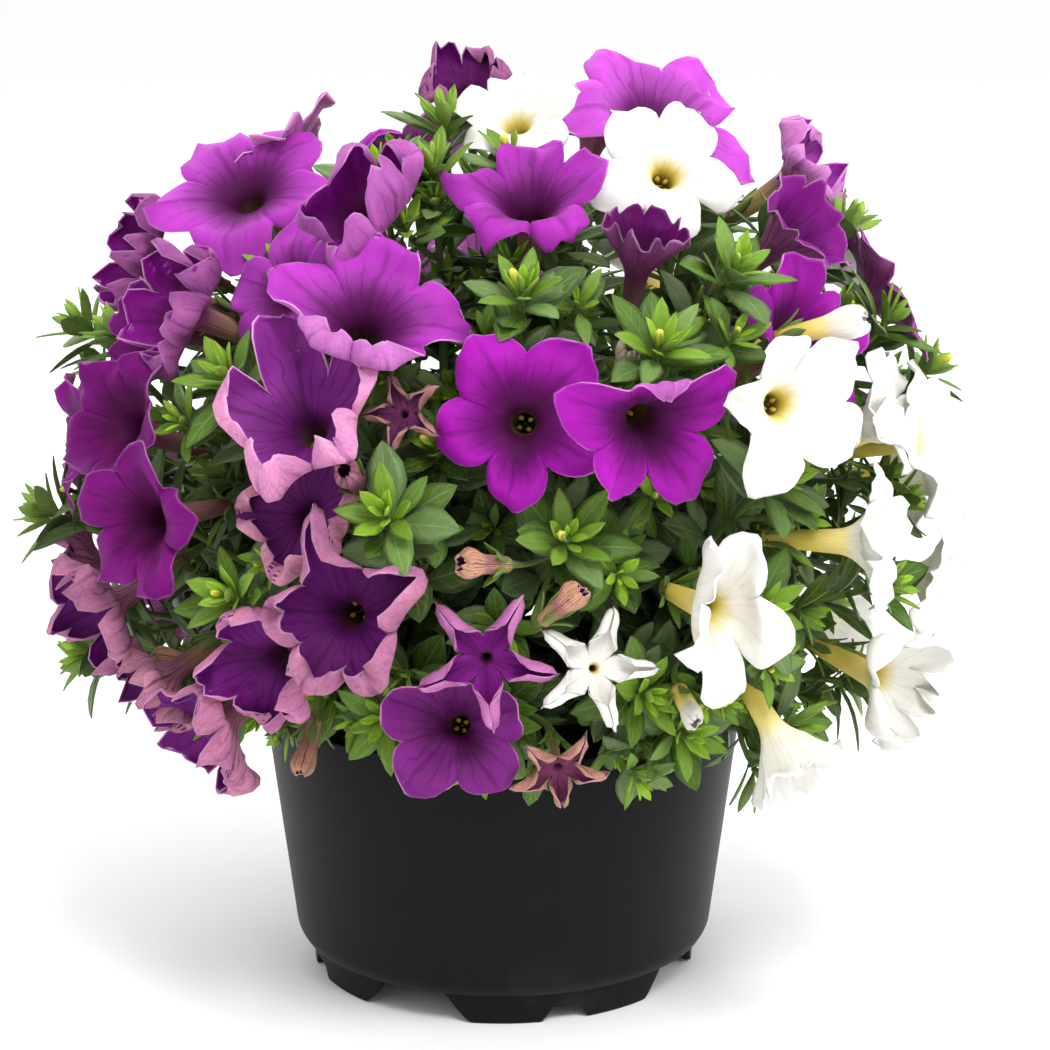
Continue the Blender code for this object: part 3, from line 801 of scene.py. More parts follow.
@dataclass
class Leaf:
    """A leaf: a pointed ellipse on a short petiole, folded a little along its midrib and bent along its
    length. Sizes are in metres and angles in degrees."""

    foot: Vector
    along: Vector
    face: Vector
    length: float
    width: float
    fold: float = 16
    bend: float = 22
    thickness: float = 0.45 * MM
    petiole: float = 0.5 * MM
    slender: float = 1.12

    def outline(self) -> tuple[Vector, Vector, Vector]:
        """The places that a leaf reaches.

        Returns:
            Its tip and the two places where it is widest.
        """
        side = self.along.cross(self.face).normalized()
        middle = self.foot + self.along * self.length * 0.55
        half = side * self.width / 2
        return self.foot + self.along * self.length, middle + half, middle - half

    def add_to(self, skin: Skin, tint: Color, slim: bool = False) -> None:
        """Adds the leaf as one closed part.

        Args:
            skin: The mesh to add to.
            tint: Its youth, lightness and chance value.
            slim: Whether it is small enough for fewer faces.
        """
        shares = np.array(SLIM_STATIONS if slim else LEAF_STATIONS)
        top = np.array((-1.0, -0.5, 0.0, 0.5, 1.0))
        under = np.array((0.0,) if slim else (0.55, 0.0, -0.55))
        half = np.sin(np.pi * shares**self.slender) ** 0.82 * self.width / 2
        half = np.maximum(half, self.petiole * np.where(shares < 0.3, 1.0, 0.12))
        angle = math.radians(self.bend) * (0.4 - shares)
        step = np.diff(shares, prepend=0) * self.length
        run = np.cumsum(np.cos(angle) * step)
        rise = np.cumsum(np.sin(angle) * step)
        fold = math.tan(math.radians(self.fold))
        across = np.concatenate([top, under])
        lift = fold * np.abs(across) - 0.22 * across**4
        groove = -0.9 * np.exp(-((across / 0.2) ** 2)) * self.thickness / 2
        depth = np.where(np.arange(len(across)) < len(top), 0.5, -0.5) * (1 - across**2) * self.thickness
        swell = (0.35 + 0.65 * np.sin(np.pi * shares))[:, None]
        x = half[:, None] * across
        z = rise[:, None] + half[:, None] * lift + groove + depth * swell
        side = np.array(self.along.cross(self.face).normalized())
        rings = (np.array(self.foot) + run[:, None, None] * np.array(self.along)
                 + x[..., None] * side + z[..., None] * np.array(self.face))
        around = np.append(across, across[0]) * 0.5 + 0.5
        along = np.repeat(shares[:, None], len(across), axis=1)
        over = skin.index_of(Finish.LEAF_TOP)
        below = skin.index_of(Finish.LEAF_UNDER)
        band = np.where(np.arange(len(across)) < len(top) - 1, over, below)
        bands = np.repeat(band[None], len(shares) - 1, axis=0)
        skin.add_rings(rings, around, along, bands, np.array(tint))


@dataclass(frozen=True)
class Form:
    """How a corolla has opened. Slopes, curls and rolls are in degrees: a slope stands up from the mouth's
    plane, a curl turns a lobe's end over the face, or back if negative, and a roll does so with its sides.
    The notch is the depth that two lobes share, ruffle and crinkle are shares of the open width, pinch
    narrows the throat, chaos is how far chance moves each lobe, and start is the share of the limb at
    which its curl sets in."""

    slope: float
    bow: float
    notch: float
    curl: float
    roll: float
    ruffle: float
    crinkle: float
    fold: float = 0
    pinch: float = 1.0
    chaos: float = 1.0
    start: float = 0.45


OPEN = Form(slope=30, bow=-30, notch=0.50, curl=-20, roll=4, ruffle=0.045, crinkle=0.036, chaos=1.2)
CUPPED = Form(slope=58, bow=6, notch=0.66, curl=-30, roll=14, ruffle=0.04, crinkle=0.026)
FOLDED = Form(slope=18, bow=-28, notch=0.27, curl=165, roll=60, fold=12, ruffle=0.05, crinkle=0.06,
              chaos=2.0, start=0.36)
STAR = Form(slope=4, bow=2, notch=0.22, curl=-10, roll=170, ruffle=0.0, crinkle=0.010, pinch=0.35,
            chaos=0.3, start=0.33)
WITHERED = Form(slope=70, bow=40, notch=0.62, curl=70, roll=60, fold=20, ruffle=0.08, crinkle=0.040)


Lobes = tuple[float, ...]
ALIKE = (0, 0, 0, 0, 0)


@dataclass(frozen=True)
class Look:
    """What sets one flower apart: the first lobe's angle, counted from the flower's right, what each
    lobe adds to the form's length, curl, roll and slope, what each gap after a lobe adds to the notch,
    the fold's direction, its age, a painted lightness for the light and shade that fall on it, and paleness."""

    twist: float | None = None
    lengths: Lobes = ALIKE
    curls: Lobes = ALIKE
    rolls: Lobes = ALIKE
    tilts: Lobes = ALIKE
    notches: Lobes = ALIKE
    fold: float | None = None
    fold_axis: float = 90
    age: float = 0.0
    # painted light and shade: higher for a flower in the light, lower for one in shade
    light: float = 0.5
    pale: float = 0.0
    detail: int = 9


LOBES = 5
TUBE_DEPTH = 0.58
TUBE_LENGTH = 0.40
THROAT_LENGTH = 0.20
LIMB_LENGTH = 0.345
TUBE_ROWS = 4
THROAT_ROWS = 5
LEAST_LIMB_ROWS = 10
THROAT_MAP = 0.3
LIMB_MAP = 0.5
TUBE_FOOT_RADIUS = 1.5 * MM
TUBE_SLOPE = 86.5
PETAL_THICKNESS = 0.32 * MM
LOBE_POWER = 1.9
LOBE_FULLNESS = 0.72
LOBE_POINT = 0.10
SHALLOWEST_NOTCH = 0.08
CHANCE_LENGTH = 0.04
CHANCE_CURL = 34
CHANCE_ROLL = 36
CHANCE_SLOPE = 8
CHANCE_NOTCH = 0.07
CRINKLES = 9
EDGE_WAVES = (7, 11, 16, 23)
EDGE_WAVE_HEIGHT = 0.013


class Corolla:
    """The tube and the five joined petals of one flower, as one closed sheet with a face and a back."""

    def __init__(self, width: float, form: Form, look: Look, chance: np.random.Generator) -> None:
        """Keeps the corolla's measures and draws what chance adds to them.

        Args:
            width: The open width.
            form: How it has opened.
            look: What sets it apart.
            chance: The random source.
        """
        self.width = width
        self.form = form
        self.look = look
        spread = form.chaos * chance.uniform(-1, 1, (5, LOBES))
        self.lengths = 1 + np.array(look.lengths) + CHANCE_LENGTH * spread[0]
        self.curls = form.curl + np.array(look.curls) + CHANCE_CURL * spread[1]
        self.rolls = form.roll + np.array(look.rolls) + CHANCE_ROLL * spread[2]
        self.slopes = form.slope + np.array(look.tilts) + CHANCE_SLOPE * spread[3]
        self.notches = form.notch + np.array(look.notches) + CHANCE_NOTCH * spread[4]
        self.notches = np.maximum(self.notches, SHALLOWEST_NOTCH)
        self.twist = math.radians(look.twist if look.twist is not None else chance.uniform(0, 360))
        self.fold = form.fold if look.fold is None else look.fold
        self.waves = chance.uniform(-1, 1, (CRINKLES, 2)) * 9
        self.phases = chance.uniform(0, TURN, CRINKLES)
        self.edge_phases = chance.uniform(0, TURN, len(EDGE_WAVES))
        self.lobe = np.repeat(np.arange(LOBES), look.detail)
        self.across = np.tile(np.sin(np.pi / 2 * (2 * np.arange(look.detail) / look.detail - 1)), LOBES)
        self.turn = self.twist + (self.lobe + self.across / 2) * TURN / LOBES
        self.notch = self.notches[np.where(self.across < 0, self.lobe - 1, self.lobe) % LOBES]

    def shared(self, values: np.ndarray) -> np.ndarray:
        """A value of each lobe for every column, carried over to its neighbours' where they join.

        Args:
            values: One value for each lobe.

        Returns:
            The values for the columns.
        """
        neighbour = values[(self.lobe + np.where(self.across < 0, -1, 1)) % LOBES]
        own = values[self.lobe]
        return own + (neighbour - own) * 0.5 * eased(0.2, 1.0, np.abs(self.across))

    def limb(self, rows: int) -> tuple[np.ndarray, np.ndarray]:
        """The face from the foot of the tube to the margin, facing +Z with the mouth at the origin.

        Args:
            rows: The number of rows on the limb.

        Returns:
            The places, as rows by columns by 3, and the map's second coordinate of every row.
        """
        width = self.width
        columns = len(self.lobe)
        length = self.shared(self.lengths)
        edge = self.notch + (1 - self.notch) * (1 - np.abs(self.across) ** LOBE_POWER) ** LOBE_FULLNESS
        edge = edge * length + LOBE_POINT * np.exp(-((self.across / 0.20) ** 2))
        slope = self.shared(self.slopes)
        bend = eased(0, 1, (np.arange(THROAT_ROWS) + 0.5) / THROAT_ROWS)[:, None]
        share = ((np.arange(rows) + 0.5) / rows)[:, None]
        curled = self.shared(self.curls) * eased(self.form.start, 1.0, share) * (0.55 + 0.45 * edge)
        angles = np.radians(np.concatenate([
            np.full((TUBE_ROWS, columns), TUBE_SLOPE),
            TUBE_SLOPE + (slope - TUBE_SLOPE) * bend,
            slope + self.form.bow * share + curled,
        ]))
        runs = width * np.concatenate([
            np.full((TUBE_ROWS, columns), TUBE_LENGTH / TUBE_ROWS),
            np.full((THROAT_ROWS, columns), THROAT_LENGTH / THROAT_ROWS),
            np.tile(LIMB_LENGTH * edge / rows, (rows, 1)),
        ])
        foot = np.zeros((1, columns))
        radial = TUBE_FOOT_RADIUS + np.cumsum(np.concatenate([foot, np.cos(angles) * runs]), axis=0)
        height = np.cumsum(np.concatenate([foot, np.sin(angles) * runs]), axis=0) - TUBE_DEPTH * width
        reach = edge / length * np.linspace(0, 1, rows + 1)[:, None]
        reach = np.concatenate([np.zeros((TUBE_ROWS + THROAT_ROWS, columns)), reach])
        mapped = np.concatenate([
            np.linspace(0, THROAT_MAP, TUBE_ROWS, endpoint=False),
            np.linspace(THROAT_MAP, LIMB_MAP, THROAT_ROWS, endpoint=False),
            np.linspace(LIMB_MAP, 1, rows + 1),
        ])
        return self.shaped(radial, height, reach), mapped

    def shaped(self, radial: np.ndarray, height: np.ndarray, reach: np.ndarray) -> np.ndarray:
        """Rolls the lobes' sides, ruffles and crinkles the limb, and folds the whole flower.

        Args:
            radial: The distance from the axis of every place.
            height: The height of every place.
            reach: The distance along the limb of every place, as a share of an open lobe.

        Returns:
            The places, as rows by columns by 3.
        """
        x, y, lift = self.rolled(radial, reach)
        narrowed = self.form.pinch + (1 - self.form.pinch) * eased(0.0, 0.5, reach)
        z = height + lift + self.crinkles(reach) * self.width
        places = [x * narrowed, y * narrowed, z]
        return np.stack(self.folded(*places) if self.fold else places, axis=2)

    def rolled(self, radial: np.ndarray, reach: np.ndarray) -> tuple[np.ndarray, np.ndarray, np.ndarray]:
        """Rolls the free sides of every lobe about the line along its middle.

        Args:
            radial: The distance from the axis of every place.
            reach: The distance along the limb of every place, as a share of an open lobe.

        Returns:
            The two level coordinates of every place, and how far it is lifted.
        """
        off = self.across * np.pi / LOBES
        middle = self.turn - off
        free = np.clip((reach - self.notch) / (1 - self.notch), 0, 1)
        widest = (1 - free ** (1 / LOBE_FULLNESS)) ** (1 / LOBE_POWER)
        rolling = self.notch + (self.form.start + 0.05) * (1 - self.notch)
        roll = np.radians(self.rolls[self.lobe]) * eased(self.notch * 0.75, rolling, reach)
        roll = np.where(np.abs(roll) < 1e-3, 1e-3, roll)
        half = np.maximum(radial * np.sin(np.pi / LOBES * np.maximum(widest, 0.05)), 1e-6)
        share = np.clip(radial * np.sin(off) / half, -1.2, 1.2)
        sideways = half / roll * np.sin(roll * share)
        forward = radial * np.cos(off)
        x = forward * np.cos(middle) - sideways * np.sin(middle)
        y = forward * np.sin(middle) + sideways * np.cos(middle)
        return x, y, half / roll * (1 - np.cos(roll * share))

    def crinkles(self, reach: np.ndarray) -> np.ndarray:
        """The ruffle between the lobes, the crinkles, the waves of the margin, the ribs and the joins.

        Args:
            reach: The distance along the limb of every place, as a share of an open lobe.

        Returns:
            How far each place stands up, as a share of the open width.
        """
        pleat = np.cos(LOBES * (self.turn - self.twist))
        rise = -self.form.ruffle * reach**1.6 * pleat
        wave = np.zeros_like(reach)
        for (kx, ky), phase in zip(self.waves, self.phases):
            wave += np.sin(kx * reach * np.cos(self.turn) + ky * reach * np.sin(self.turn) + phase)
        rise += wave / 3 * self.form.crinkle * reach
        for count, phase in zip(EDGE_WAVES, self.edge_phases):
            rise += np.sin(count * self.turn + phase) * EDGE_WAVE_HEIGHT * reach**3
        starting = eased(0.0, 0.2, reach)
        rib = np.exp(-((self.across / 0.10) ** 2)) * starting * (1 - 0.8 * reach)
        join = np.exp(-(((1 - np.abs(self.across)) / 0.05) ** 2)) * starting
        return rise - rib * 0.010 - join * 0.014

    def folded(self, x: np.ndarray, y: np.ndarray, z: np.ndarray) -> list[np.ndarray]:
        """Folds both halves of the flower up about the look's axis.

        Args:
            x: The first coordinate of every place.
            y: The second.
            z: The height.

        Returns:
            The three coordinates of every folded place.
        """
        axis = math.radians(self.look.fold_axis)
        beside = -x * math.sin(axis) + y * math.cos(axis)
        beyond = x * math.cos(axis) + y * math.sin(axis)
        base = -0.10 * self.width
        bent = np.radians(self.fold) * eased(0.02 * self.width, 0.40 * self.width, np.abs(beside))
        out = np.abs(beside) * np.cos(bent) - (z - base) * np.sin(bent)
        z = base + np.abs(beside) * np.sin(bent) + (z - base) * np.cos(bent)
        beside = np.sign(beside) * out
        x = beyond * math.cos(axis) - beside * math.sin(axis)
        y = beyond * math.sin(axis) + beside * math.cos(axis)
        return [x, y, z]

    def add_to(self, skin: Skin, mouth: Vector, facing: Vector, face: Finish, back: Finish) -> None:
        """Adds the corolla as one closed sheet.

        Args:
            skin: The mesh to add to.
            mouth: The mouth's centre.
            facing: The direction that the flower faces.
            face: The face's finish.
            back: The back's finish.
        """
        front, mapped = self.limb(rows=max(LEAST_LIMB_ROWS, self.look.detail + 1))
        down = np.gradient(front, axis=0)
        over = (np.roll(front, -1, axis=1) - np.roll(front, 1, axis=1)) / 2
        normal = np.cross(down, over)
        normal /= np.maximum(np.linalg.norm(normal, axis=2, keepdims=True), 1e-12)
        if (normal[TUBE_ROWS - 1, :, :2] * front[TUBE_ROWS - 1, :, :2]).sum() > 0:
            normal = -normal
        rings = np.concatenate([front - normal * PETAL_THICKNESS, front[::-1]])
        right = UP.cross(facing)
        right = right.normalized() if right.length > 1e-3 else Vector((1, 0, 0))
        axes = np.array([right, facing.cross(right), facing])
        around = (self.lobe + self.across / 2 + 0.5) / LOBES
        around = np.append(around, 1.0 + around[0])
        along = np.repeat(np.concatenate([mapped, mapped[::-1]])[:, None], len(self.lobe), axis=1)
        band = np.where(np.arange(len(rings) - 1) < len(mapped), skin.index_of(back), skin.index_of(face))
        bands = np.repeat(band[:, None], len(self.lobe), axis=1)
        # the second channel is the flower's painted light and shade
        tint = np.array((self.look.age, self.look.light, self.look.pale))
        skin.add_rings(rings @ axes + np.array(mouth), around, along, bands, tint)


@dataclass(frozen=True)
class Shoot:
    """A leafy shoot: its plant, its tip's azimuth, elevation and distance from the dome's centre in mm,
    the height in mm at which it leaves the crown, and the elevation in which it sets out."""

    plant: Plant
    azimuth: float
    elevation: float
    reach: float
    leave: float
    climb: float
    youth: float = 0.5


def shoots_of(plant: Plant, *rows: tuple[float, ...]) -> tuple[Shoot, ...]:
    """Shoots of one plant, each a row of the other values of a Shoot."""
    return tuple(Shoot(plant, *row) for row in rows)


@dataclass(frozen=True)
class Flower:
    """A flower: its plant, the azimuth, elevation and reach in mm of its mouth from the dome's centre,
    the azimuth and elevation that it faces, its open width in mm, its form and its look."""

    plant: Plant
    azimuth: float
    elevation: float
    reach: float
    face_azimuth: float
    face_elevation: float
    width: float
    form: Form
    look: Look = field(default_factory=Look)


def flowers_of(plant: Plant, *rows: tuple) -> tuple[Flower, ...]:
    """Flowers of one plant, each a row of the other values of a Flower."""
    return tuple(Flower(plant, *row) for row in rows)


DOME_CENTRE = Vector((0, 0, 111 * MM))
SOIL_TOP = 61 * MM
CROWN_FOOT_RADIUS = 5.5 * MM
CROWN_TOP_RADIUS = 3.6 * MM
CROWN_HEIGHT = 19 * MM
STEM_FOOT_RADIUS = 1.3 * MM
STEM_TIP_RADIUS = 0.8 * MM
STEM_SPREAD = 34 * MM
STALK_RADIUS = 0.7 * MM
STALK_LENGTH = 19 * MM
STALK_SPACING = 5 * MM
STALK_STRAIGHTNESS = 12 * MM
SEPAL_LENGTH = 4.5 * MM
SEPAL_WIDTH = 2.3 * MM
ANTHERS = 4
ANTHER_LENGTH = 1.5 * MM
ANTHER_RADII = (0.3 * MM, 0.6 * MM, 0.6 * MM, 0.25 * MM)
ANTHER_SPREAD = 0.036
VIOLET_ANTHER_DEPTH = 0.26
WHITE_ANTHER_DEPTH = 0.19
FILAMENT_DEPTH = 0.40
FILAMENT_RADIUS = 0.22 * MM
STEM_LEAVES = 18
BRANCH_PLACES = (0.62, 0.80)
BRANCH_LEAF_LENGTH = 13 * MM
ROSETTE_DEPTH = 7 * MM
BUD_SHARE = 0.45
BUD_RADIUS = 1.0 * MM
BUD_TINT = (0.0, 0.5, 0.0)
LEAF_TRIES = ((0, 1.0), (0.5, 1.0), (-0.5, 1.0), (0.25, 0.75), (-0.25, 0.75))
INNER_SHOOTS = 22

SHOOTS = shoots_of(
    Plant.VIOLET,
    (4, 44, 103, 74, 60), (23, 34, 109, 71, 45), (41, 43, 110, 78, 50), (98, 47, 102, 79, 58),
    (-14, 15, 104, 68, 40), (-44, 30, 102, 74, 48), (-36, 63, 105, 78, 68), (-38, 2, 98, 66, 40),
    (-84, 29, 108, 70, 46), (-20, -19, 82, 64, 42), (160, 42, 104, 76, 52), (200, 4, 104, 67, 38),
    (245, 28, 106, 73, 48),
) + shoots_of(
    Plant.WHITE,
    (42, 17, 98, 70, 42), (31, -21, 88, 66, 40), (78, 31, 111, 75, 50), (122, 14, 106, 71, 42),
    (50, 77, 88, 79, 76),
)

# Each Look's light is painted light and shade: flowers on the shaded side are darker, lit ones lighter.
FLOWERS = flowers_of(
    Plant.VIOLET,
    (3, 27, 98, -6, 12, 40, OPEN,
     Look(twist=50, lengths=(0.06, 0.14, 0, -0.08, 0), notches=(0.16, 0.04, -0.26, -0.26, 0),
          rolls=(0, 0, 0, -30, 0), light=0.5, detail=17)),
    (19, 25, 108, 25, -8, 42, OPEN,
     Look(twist=20, lengths=(0.2, -0.1, 0.02, -0.12, 0.2), curls=(0, 150, 0, 60, 10),
          tilts=(0, 20, 0, 0, 0), notches=(-0.1, 0, 0, -0.2, -0.2), light=0.45, detail=17)),
    (100, 69, 107, 40, 46, 56, OPEN, Look(light=0.85, pale=0.5, detail=14)),
    (8, 61, 98, 0, 60, 46, OPEN,
     Look(pale=0.2, tilts=(20, 10, 20, 25, 25), curls=(0, 0, 0, -80, -80), twist=18, detail=15)),
    (28, 49, 100, 20, 70, 30, CUPPED, Look(light=-0.25, rolls=(60, 60, 60, 60, 60), detail=13)),
    (-130, 84, 110, -10, 62, 30, FOLDED, Look(age=0.3, light=0.15)),
    (-80, 54, 106, -25, 52, 50, OPEN, Look(light=0.7, pale=0.3, detail=15)),
    (-94, 37, 110, -70, 20, 38, FOLDED, Look(age=0.1, light=0.1)),
    (-73, 38, 101, -80, 20, 26, CUPPED, Look(age=0.35, light=0.0)),
    (-30, 55, 104, -10, 42, 47, FOLDED, Look(light=0.4, fold=38, fold_axis=55, detail=15)),
    (-22, 38, 102, 4, 42, 49, OPEN,
     Look(light=0.6, pale=0.25, curls=(0, 0, 0, 190, 170), lengths=(0.1, 0, 0, 0.2, 0.15),
          tilts=(5, 0, 10, 15, 15), twist=5, detail=16)),
    (-26, 25, 106, -16, 38, 54, FOLDED,
     Look(age=0.4, light=0.75, pale=0.45, twist=40, curls=(-20, -70, 0, 40, 0), rolls=(0, 20, -40, 0, 0),
          detail=16)),
    (-61, 20, 104, -45, 22, 42, OPEN, Look(light=0.0, tilts=(15, 15, 15, 15, 15), detail=13)),
    (-49, 10, 105, -38, 2, 42, OPEN, Look(light=0.05, tilts=(20, 20, 20, 20, 20), detail=13)),
    (-62, -4, 105, -52, -22, 42, FOLDED, Look(age=0.5, light=0.15)),
    (-28, 14, 95, -22, 18, 42, FOLDED, Look(age=0.6, light=0.4, detail=13)),
    (-19, 2, 104, -14, 6, 51, FOLDED,
     Look(age=0.45, light=0.15, twist=30, curls=(0, -95, 60, 60, -30), rolls=(0, 40, 0, 0, 50),
          lengths=(0, 0.1, 0, 0, 0.2), detail=17)),
    (-34, -8, 93, -33, -10, 44, FOLDED, Look(age=0.45, light=0.45, detail=13)),
    (-45, -19, 98, -45, -28, 44, FOLDED, Look(age=0.5, light=0.3)),
    (-2, -5, 90, -3, 4, 29, STAR, Look(twist=60, age=0.3, light=0.55, detail=16)),
    (-7, -17, 86, -8, 18, 36, OPEN,
     Look(age=0.3, light=0.15, pale=0.3, twist=20, curls=(60, 150, 60, -30, -30),
          tilts=(0, 10, 0, -25, -25), detail=13)),
    (68, 47, 103, 62, 38, 40, CUPPED, Look(age=0.2, light=0.15)),
    (88, 33, 110, 108, 30, 40, OPEN, Look(light=0.2)),
    (53, 34, 99, 38, 30, 46, OPEN, Look(light=0.3, tilts=(20, 20, 20, 20, 20), detail=13)),
    (185, 28, 106, 185, 25, 40, OPEN),
    (229, 0, 106, 229, 0, 40, OPEN, Look(light=0.4)),
) + flowers_of(
    Plant.WHITE,
    (45, 60, 108, 14, 36, 38, OPEN,
     Look(lengths=(0, 0.05, 0, -0.05, 0), notches=(-0.1, 0, -0.2, -0.2, 0), detail=16)),
    (10, 80, 105, -15, 56, 34, OPEN, Look(detail=12)),
    (37, 25, 113, 26, 12, 38, OPEN,
     Look(twist=32, lengths=(0.1, -0.05, -0.15, 0.1, 0), notches=(0, -0.15, -0.15, 0, 0.1),
          rolls=(0, 50, 40, 0, 0), tilts=(0, 25, 15, 0, 0), detail=17)),
    (27, 2, 103, 23, 2, 42, OPEN,
     Look(twist=-90, fold=48, fold_axis=88, lengths=(0.15, 0, 0, 0, 0), notches=(-0.2, 0, 0, 0, -0.2),
          detail=17)),
    (13, -6, 93, 8, 14, 25, STAR, Look(twist=70, detail=16)),
    (51, 7, 106, 72, 2, 40, OPEN, Look(tilts=(20, 20, 20, 20, 20), detail=13)),
    (42, -19, 100, 46, -48, 36, CUPPED, Look(age=0.1, detail=13)),
    (62, -14, 106, 52, -16, 40, FOLDED, Look(detail=13)),
    (78, 15, 107, 66, 14, 40, OPEN, Look(detail=13)),
    (79, -4, 106, 72, -8, 38, OPEN, Look(detail=13)),
    (112, 38, 106, 112, 35, 38, OPEN),
    (142, -4, 106, 142, -5, 38, OPEN),
)

# Each Look's light is painted light and shade: flowers on the shaded side are darker, lit ones lighter.
MORE_FLOWERS = flowers_of(
    Plant.VIOLET,
    (-47, 45, 94, -40, 32, 36, OPEN, Look(light=0.55, pale=0.3)),
    (107, 48, 116, 75, 35, 38, FOLDED, Look(light=0.7, pale=0.4, age=0.1)),
    (-14, 28, 98, -15, 25, 16, STAR, Look(age=0.8, light=0.0, detail=8)),
    (9, -23, 91, 10, -28, 20, STAR, Look(detail=8, age=0.9, light=0.3)),
    (-77, 33, 98, -50, 16, 32, CUPPED, Look(age=0.2, light=0.0)),
    (-3, 9, 96, -50, 10, 15, WITHERED, Look(detail=7, age=1.0, light=0.6)),
    (9, 4, 95, 60, 40, 14, WITHERED, Look(detail=7, age=1.0, light=0.6)),
    (-60, -13, 92, -80, 10, 14, WITHERED, Look(detail=7, age=1.0, light=0.5)),
    (-34, -25, 88, -28, -62, 15, WITHERED, Look(detail=7, age=1.0, light=0.3)),
    (-19, 19, 104, -16, 30, 14, WITHERED, Look(detail=7, age=0.6, light=-0.1)),
) + flowers_of(
    Plant.WHITE,
    (21, 36, 96, 12, 40, 15, WITHERED, Look(detail=7, age=0.7, light=0.5)),
    (28, -14, 93, 24, -30, 12, WITHERED, Look(detail=7, age=0.1, light=0.4)),
) + flowers_of(
    Plant.VIOLET,
    (-58, 36, 106, -52, 24, 42, FOLDED, Look(age=0.15, light=0.2)),
    (-100, 60, 108, -115, 50, 34, OPEN, Look(age=0.2, light=0.6, pale=0.6)),
    (-56, -14, 98, -62, -30, 34, FOLDED, Look(age=0.6, light=0.2)),
    (-84, 14, 106, -72, 8, 36, OPEN, Look(light=0.1)),
    (-92, -6, 104, -88, -14, 36, FOLDED, Look(age=0.3, light=0.2)),
    (205, 58, 104, 205, 55, 38, OPEN, Look(light=0.6)),
    (152, 62, 106, 150, 60, 36, CUPPED),
    (214, 28, 107, 215, 22, 40, OPEN, Look(light=0.55)),
    (252, 50, 106, 255, 45, 38, OPEN, Look(light=0.65)),
    (262, 8, 104, 265, 5, 36, FOLDED, Look(age=0.3, light=0.45)),
    (245, -16, 100, 245, -25, 34, OPEN, Look(age=0.15, light=0.4)),
    (196, -8, 104, 196, -12, 38, OPEN, Look(light=0.55)),
    (176, 8, 96, 176, 5, 34, FOLDED, Look(age=0.5, light=0.5)),
) + flowers_of(
    Plant.WHITE,
    (69, 21, 104, 76, 20, 32, OPEN),
    (54, 33, 111, 85, 14, 24, WITHERED, Look(age=0.05, detail=7)),
    (60, 20, 104, 55, 32, 24, CUPPED, Look(age=0.1)),
    (76, -18, 106, 66, -20, 36, OPEN),
    (128, 62, 104, 125, 58, 36, OPEN),
    (132, 22, 107, 132, 18, 38, OPEN),
    (105, 5, 107, 108, 2, 36, OPEN),
    (152, 30, 105, 152, 26, 38, OPEN),
    (118, -20, 102, 118, -28, 34, CUPPED, Look(age=0.1)),
    (168, -18, 98, 168, -22, 34, OPEN),
)

MORE_SHOOTS = shoots_of(
    Plant.VIOLET,
    (-60, 50, 92, 76, 60), (-10, 74, 92, 79, 74), (-24, 30, 92, 70, 50), (10, 12, 88, 68, 42),
    (-62, 10, 98, 68, 42), (-58, -14, 92, 66, 38), (-3, -20, 80, 64, 40), (-98, 12, 100, 68, 42),
    (-88, -12, 96, 66, 38), (-110, 50, 100, 76, 58), (226, 48, 100, 76, 56), (228, 16, 102, 70, 44),
    (180, 62, 98, 78, 64), (184, -12, 98, 66, 38), (222, -18, 98, 65, 36), (250, 4, 100, 68, 40),
) + shoots_of(
    Plant.WHITE,
    (60, 22, 96, 72, 46), (24, -14, 84, 64, 40), (38, 0, 96, 67, 40), (66, -2, 100, 68, 40),
    (56, -24, 92, 65, 36), (92, 4, 100, 68, 40), (84, -22, 98, 65, 36), (112, -8, 100, 67, 38),
    (140, 12, 100, 70, 42), (148, -22, 96, 65, 36), (160, 20, 98, 70, 44), (132, 44, 100, 76, 56),
    (20, 62, 92, 78, 66), (84, 60, 96, 79, 66),
) + shoots_of(
    Plant.VIOLET,
    (-52, -20, 77, 64, 40), (-36, -20, 74, 64, 40), (-20, -20, 72, 64, 40), (-5, -20, 73, 64, 40),
) + shoots_of(
    Plant.WHITE,
    (31, -19, 76, 64, 40), (43, -20, 75, 64, 40), (60, -20, 77, 64, 40),
) + shoots_of(
    Plant.VIOLET,
    (-95, 26, 117, 70, 46), (-88, 3, 114, 67, 40), (-72, -12, 108, 65, 36), (92, 42, 114, 76, 54),
) + shoots_of(
    Plant.WHITE,
    (96, 20, 114, 71, 46),
) + shoots_of(
    Plant.VIOLET,
    (-22, 66, 104, 79, 68), (-34, 77, 107, 80, 74), (4, 70, 104, 79, 70),
)


def inner_shoots() -> tuple[Shoot, ...]:
    """Short shoots with old leaves, spread evenly inside the dome to fill it. Their dark old green also
    partly paints the shade inside the dome.

    Returns:
        The shoots.
    """
    made = []
    for index in range(INNER_SHOOTS):
        azimuth = (index * math.degrees(GOLDEN_TURN)) % 360
        share = (index + 0.5) / INNER_SHOOTS
        plant = Plant.WHITE if 15 < azimuth < 165 else Plant.VIOLET
        elevation = -22 + 80 * share
        reach, leave, climb = 74 + 6 * share, 64 + 14 * share, 34 + 34 * share
        # a youth of 0.15 gives the dark old green, partly painted shade inside the dome
        made.append(Shoot(plant, azimuth, elevation, reach, leave, climb, youth=0.15))
    return tuple(made)


def crown_radius(height: float) -> float:
    """A crown's radius at a height above the table."""
    share = (height - SOIL_TOP) / CROWN_HEIGHT
    return CROWN_FOOT_RADIUS + (CROWN_TOP_RADIUS - CROWN_FOOT_RADIUS) * share


